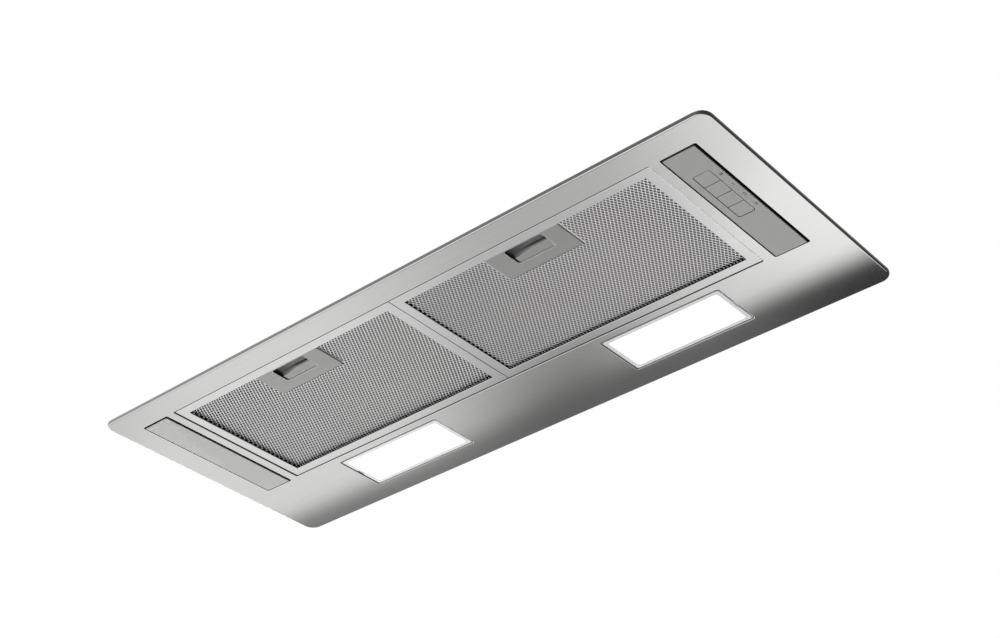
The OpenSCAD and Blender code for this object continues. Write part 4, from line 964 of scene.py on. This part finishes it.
def latch(name, side):
    """The sliding latch: its finger pad rises to a crest behind the pocket; two arms carry the tongue."""
    x, y, z = side * FILTER_X, PLATE_Y, FILTER_Z
    mesh = bmesh.new()
    rings = []
    for step in range(PAD_STEPS + 1):
        turn = radians(90) * step / PAD_STEPS
        points = []
        for k in range(PAD_BEND_STEPS + 1):
            share = k / PAD_BEND_STEPS
            hollow = max(0.0, share * 2 - 1) ** PAD_HOLLOW
            forward = (1 - hollow) * sin(turn) + hollow * (1 - cos(turn))
            down = (1 - hollow) * (1 - cos(turn)) + hollow * sin(turn)
            crest = PAD_CREST_Y + (PAD_CREST_LEFT_Y - PAD_CREST_Y) * share ** PAD_BEND
            points.append((x + PAD_RIGHT - (PAD_LEFT + PAD_RIGHT) * share,
                           y + crest + (PAD_FOOT_Y - crest) * forward,
                           z + PAD_CREST_Z + (PAD_FLOOR_Z - PAD_CREST_Z) * down))
        rear_z = z + PAD_CREST_Z + (PAD_FLOOR_Z - PAD_CREST_Z) * step / PAD_STEPS
        points += [(x - PAD_LEFT, y + PAD_REAR, rear_z), (x + PAD_RIGHT, y + PAD_REAR, rear_z)]
        rings.append([mesh.verts.new(point) for point in points])
    join_rings(mesh, rings[::-1])
    mesh.faces.new(rings[0])
    mesh.faces.new(rings[-1])
    pad = finished(name, mesh, 50.0)
    pad_y, pad_d = y + (LATCH_FRONT + PAD_REAR) / 2, PAD_REAR - LATCH_FRONT
    middle_z = z + LATCH_Z + LATCH_T / 2
    return merged([
        pad,
        block((x, pad_y, z + PAD_FLOOR_Z + PAD_FLOOR_T / 2), (2 * LATCH_HALF, pad_d, PAD_FLOOR_T),
              PAD_FLOOR_EASE),
        block((x, y + LATCH_FRONT + BAR_D / 2, middle_z), (2 * LATCH_HALF, BAR_D, LATCH_T), BAR_EASE),
        block((x, y + (LATCH_FRONT + BAR_D - TONGUE_REACH) / 2, middle_z),
              (TONGUE_IN_W, TONGUE_REACH + LATCH_FRONT + BAR_D, LATCH_T), TONGUE_EASE),
    ] + [
        block((x + s * (LATCH_HALF - ARM_W / 2), pad_y, middle_z), (ARM_W, pad_d, LATCH_T), BAR_EASE)
        for s in (-1, 1)
    ])


# Signs printed beside the buttons, as strokes in a box 2 wide and 3 high, up towards the front
def arc(cx, cy, r, start, end, steps=10):
    turns = [radians(start + (end - start) * i / steps) for i in range(steps + 1)]
    return [(cx + r * cos(turn), cy + r * sin(turn)) for turn in turns]


SIGNS = {
    "light": [arc(0, 0, 0.75, 0, 360, 16)] + [
        [(1.05 * cos(turn), 1.05 * sin(turn)), (1.6 * cos(turn), 1.6 * sin(turn))]
        for turn in [radians(45 * i) for i in range(8)]
    ],
    "1": [[(-0.6, 0.9), (0.1, 1.5), (0.1, -1.5)]],
    "2": [arc(0, 0.7, 0.8, 170, -35) + [(-0.85, -1.5), (0.9, -1.5)]],
    "3": [arc(0, 0.75, 0.72, 160, -85) + arc(0, -0.72, 0.8, 85, -165)],
}


def stroke(mesh, points, width, z_low, z_high):
    """A thin closed ribbon along a line of points."""
    rings = []
    for i, point in enumerate(points):
        before, after = Vector(points[max(i - 1, 0)]), Vector(points[min(i + 1, len(points) - 1)])
        along = (after - before).normalized()
        across = Vector((-along.y, along.x)) * width / 2
        one, other = Vector(point) + across, Vector(point) - across
        section = ((*one, z_low), (*other, z_low), (*other, z_high), (*one, z_high))
        rings.append([mesh.verts.new(corner) for corner in section])
    join_rings(mesh, rings)
    mesh.faces.new(rings[0])
    mesh.faces.new(rings[-1])


def printed_signs():
    mesh = bmesh.new()
    for index, lines in enumerate(SIGNS.values()):
        y = BUTTON_Y0 + (index + 0.5) * BUTTON_PITCH + SIGN_SHIFT
        for line in lines:
            placed = [(SIGN_X + px * SIGN_SIZE, y - py * SIGN_SIZE) for px, py in line]
            stroke(mesh, placed, SIGN_STROKE, SIGN_T, PRINT_DEPTH + SIGN_T)
    return finished("printed_signs", mesh)


def strand_tree():
    """Geometry Nodes: leaning strands that zigzag along Y, each half a pitch off the last."""
    tree, given = new_group("Geometry", "Expanded mesh", {
        "Geometry": "Geometry", "Centre": "Vector", "Width": 0.2, "Depth": 0.1, "Pitch X": 0.0035,
        "Pitch Y": 0.006, "Strand Width": 0.001, "Strand Thickness": 0.0004, "Lean": 0.6,
        "Room Half Width": 0.04, "Room Rear": 0.0, "Material": "Material",
    })

    def line_of(count, step):
        return grow(tree, "MeshLine", {"Count": count, "Offset": step})

    def moved(mesh, offset):
        return grow(tree, "SetPosition", {"Geometry": mesh, "Offset": offset})

    def summed(one, other):
        return made(tree, "VectorMath", {0: one, 1: other})

    half_pitch, step_y = given["Pitch X"] * 0.5, given["Pitch Y"] * 0.5
    rows = calculated("FLOOR", given["Depth"] / step_y) + 1.0
    columns = calculated("FLOOR", given["Width"] / half_pitch)
    parity = calculated("MODULO", grow(tree, "InputIndex"), 2.0)
    zigzag = moved(line_of(rows, combined(tree, y=step_y)), combined(tree, (parity - 0.5) * half_pitch))
    line = grow(tree, "MeshToCurve", {"Mesh": zigzag})
    corner = summed(combined(tree, given["Width"] * -0.5, given["Depth"] * -0.5), given["Centre"])
    shift = combined(tree, y=parity * step_y)
    starts = moved(line_of(columns, combined(tree, half_pitch)), summed(corner, shift))
    copies = grow(tree, "InstanceOnPoints", {"Points": starts, "Instance": line})
    strands = grow(tree, "RealizeInstances", {"Geometry": copies})
    position = split(grow(tree, "InputPosition"))
    across = abs(position.x - split(given["Centre"]).x)
    in_room = (calculated("LESS_THAN", across, given["Room Half Width"])
               * calculated("LESS_THAN", position.y, given["Room Rear"]))
    kept = grow(tree, "DeleteGeometry", {"Geometry": strands, "Selection": in_room},
                domain="POINT")
    upright = grow(tree, "SetCurveNormal", {"Curve": kept}, mode="Z_UP")
    tilted = grow(tree, "SetCurveTilt", {"Curve": upright, "Tilt": given["Lean"]})
    section = grow(tree, "CurvePrimitiveQuadrilateral", {
        "Width": given["Strand Width"], "Height": given["Strand Thickness"],
    })
    swept = swept_along(tilted, section)
    flat = grow(tree, "SetShadeSmooth", {"Geometry": swept, "Shade Smooth": False})
    return put_out_mesh(tree, flat, given["Material"])


def filter_mesh(name, word, z, margin, tree, material):
    """A filter's expanded mesh, with room for its handle plate."""
    return grown(name, tree, {
        "Centre": (SIDES[word] * FILTER_X, OPENING_Y, z), "Width": FILTER_W - 2 * margin,
        "Depth": FILTER_D - 2 * margin, "Pitch X": MESH_PITCH_X, "Pitch Y": MESH_PITCH_Y,
        "Strand Width": STRAND_W[word], "Strand Thickness": STRAND_T, "Lean": STRAND_LEAN[word],
        "Room Half Width": PLATE_W / 2 + MESH_ROOM, "Room Rear": PLATE_Y + PLATE_D + MESH_ROOM,
        "Material": material,
    })


def coil_tree():
    """Geometry Nodes: a coil spring along Y, from its start."""
    tree, given = new_group("Geometry", "Coil spring", {
        "Geometry": "Geometry", "Start": "Vector", "Length": 0.008, "Radius": 0.0015, "Wire Radius": 0.0004,
        "Turns": 5.0, "Material": "Material",
    })
    helix = grow(tree, "CurveSpiral", {
        "Resolution": 24, "Rotations": given["Turns"], "Start Radius": given["Radius"],
        "End Radius": given["Radius"], "Height": given["Length"],
    })
    laid = grow(tree, "Transform", {
        "Geometry": helix, "Rotation": (radians(-90), 0, 0), "Translation": given["Start"],
    })
    wire = grow(tree, "CurvePrimitiveCircle", {"Resolution": 10, "Radius": given["Wire Radius"]})
    return put_out_mesh(tree, swept_along(laid, wire), given["Material"])


def latch_spring(name, low, high, tree):
    """A coil spring that fills the box between two corners, along Y."""
    middle = [(low[axis] + high[axis]) / 2 for axis in range(3)]
    return smoothed(grown(name, tree, {
        "Start": (middle[0], low[1] + SPRING_WIRE_R, middle[2]),
        "Length": high[1] - low[1] - 2 * SPRING_WIRE_R, "Radius": (high[0] - low[0]) / 2 - SPRING_WIRE_R,
        "Wire Radius": SPRING_WIRE_R, "Turns": SPRING_TURNS, "Material": finishes["zinc_steel"],
    }), 60.0)


def put_on(piece, body, slot, *nodes, material=None):
    """Dresses a piece, sets what carries it, and hides the nodes that it stands for."""
    piece.data.materials.clear()
    piece.data.materials.append(material or finishes[slot])
    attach(piece, body)
    if nodes:
        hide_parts(*nodes)
    return piece


for part in frame["record"]["subparts"]:
    thing = frame["nodes"][part["node"]]
    thing.data.materials.clear()
    thing.data.materials.append(finishes[part["material_slot"]])

put_on(face_panel(), "root", "stainless", "face_panel")
put_on(strip(1, True), "root", "strip_plastic", "control_strip")
put_on(strip(-1, False), "root", "strip_plastic", "blank_strip")
for index, name in enumerate(BUTTONS):
    put_on(button(index), name, "button_plastic", name)

for node in ("tray_shell", "tray_end_left", "tray_end_right", "motor_box", "motor_box_end_left",
             "motor_box_end_right"):
    put_on(eased(node, "folded_" + node, SHEET_EASE, least=SHEET_CORNER), "root", "galvanised", node)
for node in ("terminal_box", "terminal_cover"):
    put_on(eased(node, "moulded_" + node, BOX_EASE, 3, BOX_CORNER), "root", "box_grey", node)
screws = grown("pan_head_screws", screw_tree(), {
    "Head Radius": SCREW_HEAD_R, "Head Height": SCREW_HEAD_H, "Shank Radius": SCREW_R,
    "Shank Length": SCREW_LEN, "Recess Width": RECESS_W, "Recess Depth": RECESS_H,
    "Material": finishes["zinc_steel"],
}, screw_places("body_screws", SCREW_HEAD_H))
put_on(smoothed(screws, 40.0), "root", "zinc_steel", "body_screws")

signs = printed_signs()
signs.data.materials.append(plastic("printing ink", (0.05, 0.05, 0.05), 0.5))
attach(signs, "root")

strands = strand_tree()
coil = coil_tree()
for word, side in SIDES.items():
    body = "filter_" + word
    put_on(filter_frame("frame_of_filter_" + word, side), body, "filter_frame", "filter_frame_" + word)
    # Each filter's mesh gets its own copy of the foil; the right one is painted darker as shade.
    foil = expanded_foil("expanded mesh " + word, STRAND_TONE_WITH_SHADE[word])
    front = filter_mesh("mesh_of_filter_" + word, word, MESH_Z, MESH_MARGIN, strands, foil)
    put_on(front, body, "filter_mesh", "filter_mesh_" + word, material=foil)
    back = filter_mesh("back_mesh_of_filter_" + word, word, BACK_MESH_Z, BACK_MESH_MARGIN, strands, foil)
    put_on(back, body, "filter_mesh", material=foil)
    low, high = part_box("latch_spring_" + word)
    spring = put_on(latch_spring("coil_of_latch_" + word, low, high, coil), body, "zinc_steel",
                    "latch_spring_" + word)
    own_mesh(spring)
    put_on(handle_plate("plate_of_handle_" + word, side), body, "handle_plastic", "filter_handle_" + word)
    put_on(latch("finger_latch_" + word, side), "latch_" + word, "handle_plastic", "filter_latch_" + word)
    put_on(eased("lamp_cover_" + word, "opal_cover_" + word, COVER_EASE, 3), "lamp_cover_" + word,
           "lamp_diffuser", "lamp_cover_" + word, material=opal_lamp("lit opal cover " + word, side))


# The stage, the light and the camera

def background_rays(tree, straight=1.0):
    """How much of the background's white a ray sees: a share from the camera, all in metal and glass."""
    path = add(tree, "LightPath").outputs
    seen = calculated("MAXIMUM", Value(path["Is Camera Ray"]) * straight, Value(path["Is Glossy Ray"]))
    return calculated("MAXIMUM", seen, Value(path["Is Transmission Ray"]))


def one_sided(name, front):
    """A stage material: a shader on the side that it faces, and clear from behind."""
    material = bpy.data.materials.new(name)
    material.use_nodes = True
    tree = material.node_tree
    tree.nodes.clear()
    back = made(tree, "NewGeometry", output="Backfacing")
    clear = made(tree, "BsdfTransparent")
    done = made(tree, "MixShader", {0: back, 1: front(tree), 2: clear})
    add(tree, "OutputMaterial", {"Surface": done})
    return material


def plain_white(colour, straight):
    """A grey that is lit like any other, and looks white as far as background_rays says."""
    def shader(tree):
        diffuse = made(tree, "BsdfDiffuse", {"Color": grey(colour)})
        white = made(tree, "Emission")
        return made(tree, "MixShader", {0: background_rays(tree, straight), 1: diffuse, 2: white})
    return shader


def card_glow(tree):
    """The card's light, worked out from where on the panel the camera sees each of its points."""
    place = split(made(tree, "TexCoord", output="Object"))
    step = place.z / CAMERA_PLACE.z
    whole = step + 1.0
    across = (step * CAMERA_PLACE.x + place.x) / whole
    deep = (step * CAMERA_PLACE.y + CARD_Y) / whole
    front_left = reach(across, -0.2, -0.42) * reach(deep, -0.05, -0.16)
    bright = blend_of(reach(across, 0.237, 0.36), 0.980, 1.231) * blend_of(front_left, 1.0, 0.771)
    off = across - (deep * -0.529 + 0.0946)
    right_side = 1.0 - reach(off / blend_of(reach(deep, -0.13, 0.04), 0.364, 0.205), 0.0, 1.0)
    depth = calculated("POWER", calculated("MAXIMUM", deep + 0.14, 0.0), 2.0) * 8.11 + 0.444
    dip = right_side * reach(off, -0.276, 0.0) * depth
    past = deep - blend_of(reach(across, -0.2, 0.3), 0.1099, 0.0986)
    dark = reach(across, 0.15, 0.36) * -0.1426 + (reach(across, -0.17, 0.02) * -0.1076 + 0.3067)
    kept = (1.0 - reach(past, -0.0216, 0.0216)) * (1.0 - dip)
    light = (bright - dark) * kept + dark * blend_of(reach(past, 0.0, 0.03), 1.0, 0.822)
    return made(tree, "Emission", {"Strength": blend_of(reach(deep, 0.17, 0.24), light, 0.95)})


def stage_sheet(name, rings, facing, material):
    """A flat stage piece: one ring of points filled, or the band between two."""
    mesh = bmesh.new()
    rings = [[mesh.verts.new(point) for point in points] for points in rings]
    if len(rings) > 1:
        join_rings(mesh, rings)
    else:
        mesh.faces.new(rings[0])
    piece = finished(name, mesh, flip_to=facing)
    piece.data.materials.append(material)
    return piece


def level(points, z):
    return [(*point, z) for point in points]


def world_light(strength):
    world = bpy.data.worlds.new("studio")
    bpy.context.scene.world = world
    world.use_nodes = True
    tree = world.node_tree
    back = tree.nodes["Background"]
    back.inputs["Color"].default_value = grey(1.0)
    tree.links.new(mapped(background_rays(tree), 0.0, 1.0, strength, 1.0).socket, back.inputs["Strength"])


def softbox(name, place, size, power, aim=(0, 0, 0), spread=180):
    """An area lamp aimed at the object, not seen by the camera or in the metal."""
    lamp = bpy.data.lights.new(name, "AREA")
    lamp.shape = "SQUARE"
    lamp.size = size
    lamp.energy = power
    lamp.spread = radians(spread)
    piece = new_piece(name, lamp)
    piece.location = place
    piece.rotation_euler = (Vector(aim) - Vector(place)).to_track_quat("-Z", "Y").to_euler()
    piece.visible_camera = False
    piece.visible_glossy = False


def camera():
    data = bpy.data.cameras.new("camera")
    data.lens = CAMERA_LENS
    data.sensor_width = CAMERA_SENSOR
    data.clip_start = 0.01
    piece = new_piece("camera", data)
    turn = Matrix((CAMERA_RIGHT, -CAMERA_DOWN, -CAMERA_FORWARD)).transposed()
    piece.matrix_world = Matrix.Translation(CAMERA_PLACE) @ turn.to_4x4()
    bpy.context.scene.camera = piece


# The soffit is the cabinet's underside, cut out for the body: it hides the body from below, as when fitted.
soffit_z = RIM_Z + SOFFIT_GAP
hole_w, hole_d = FACE_W - 2 * SOFFIT_OVER_HEM, FACE_D - 2 * SOFFIT_OVER_HEM
soffit = stage_sheet("cabinet_soffit", [
    level(outline(SOFFIT_W, SOFFIT_D, SOFFIT_CORNER_R, (SOFFIT_SHIFT, SOFFIT_SHIFT)), soffit_z),
    level(outline(hole_w, hole_d, SOFFIT_HOLE_R), soffit_z),
], -UP, one_sided("soffit white", plain_white(0.9, 1.0)))
soffit.visible_shadow = False
stage_sheet("pale_floor", [level(outline(FLOOR_SIZE, FLOOR_SIZE, FLOOR_CORNER_R), FLOOR_Z)], UP,
            one_sided("pale floor", plain_white(0.82, 0.65)))

# Only metal sees the graded card, low behind the object: its shading is what the panel mirrors.
card = stage_sheet("studio_card", [
    [(CARD_LEFT, CARD_Y, CARD_TOP), (CARD_RIGHT, CARD_Y, CARD_TOP),
     (CARD_RIGHT, CARD_Y, CARD_FOOT), (CARD_LEFT, CARD_Y, CARD_FOOT)],
], FORWARD, one_sided("studio card", card_glow))
for kind in ("camera", "diffuse", "shadow", "transmission"):
    setattr(card, "visible_" + kind, False)

world_light(strength=0.2)
softbox("softbox below left", (-1.3, 0.7, -1.1), size=1.0, power=8.7, aim=(0.09, 0, 0), spread=70)
softbox("softbox above", (0.8, -0.9, 1.5), size=1.2, power=40)
camera()
bpy.context.scene.view_settings.view_transform = "Standard"
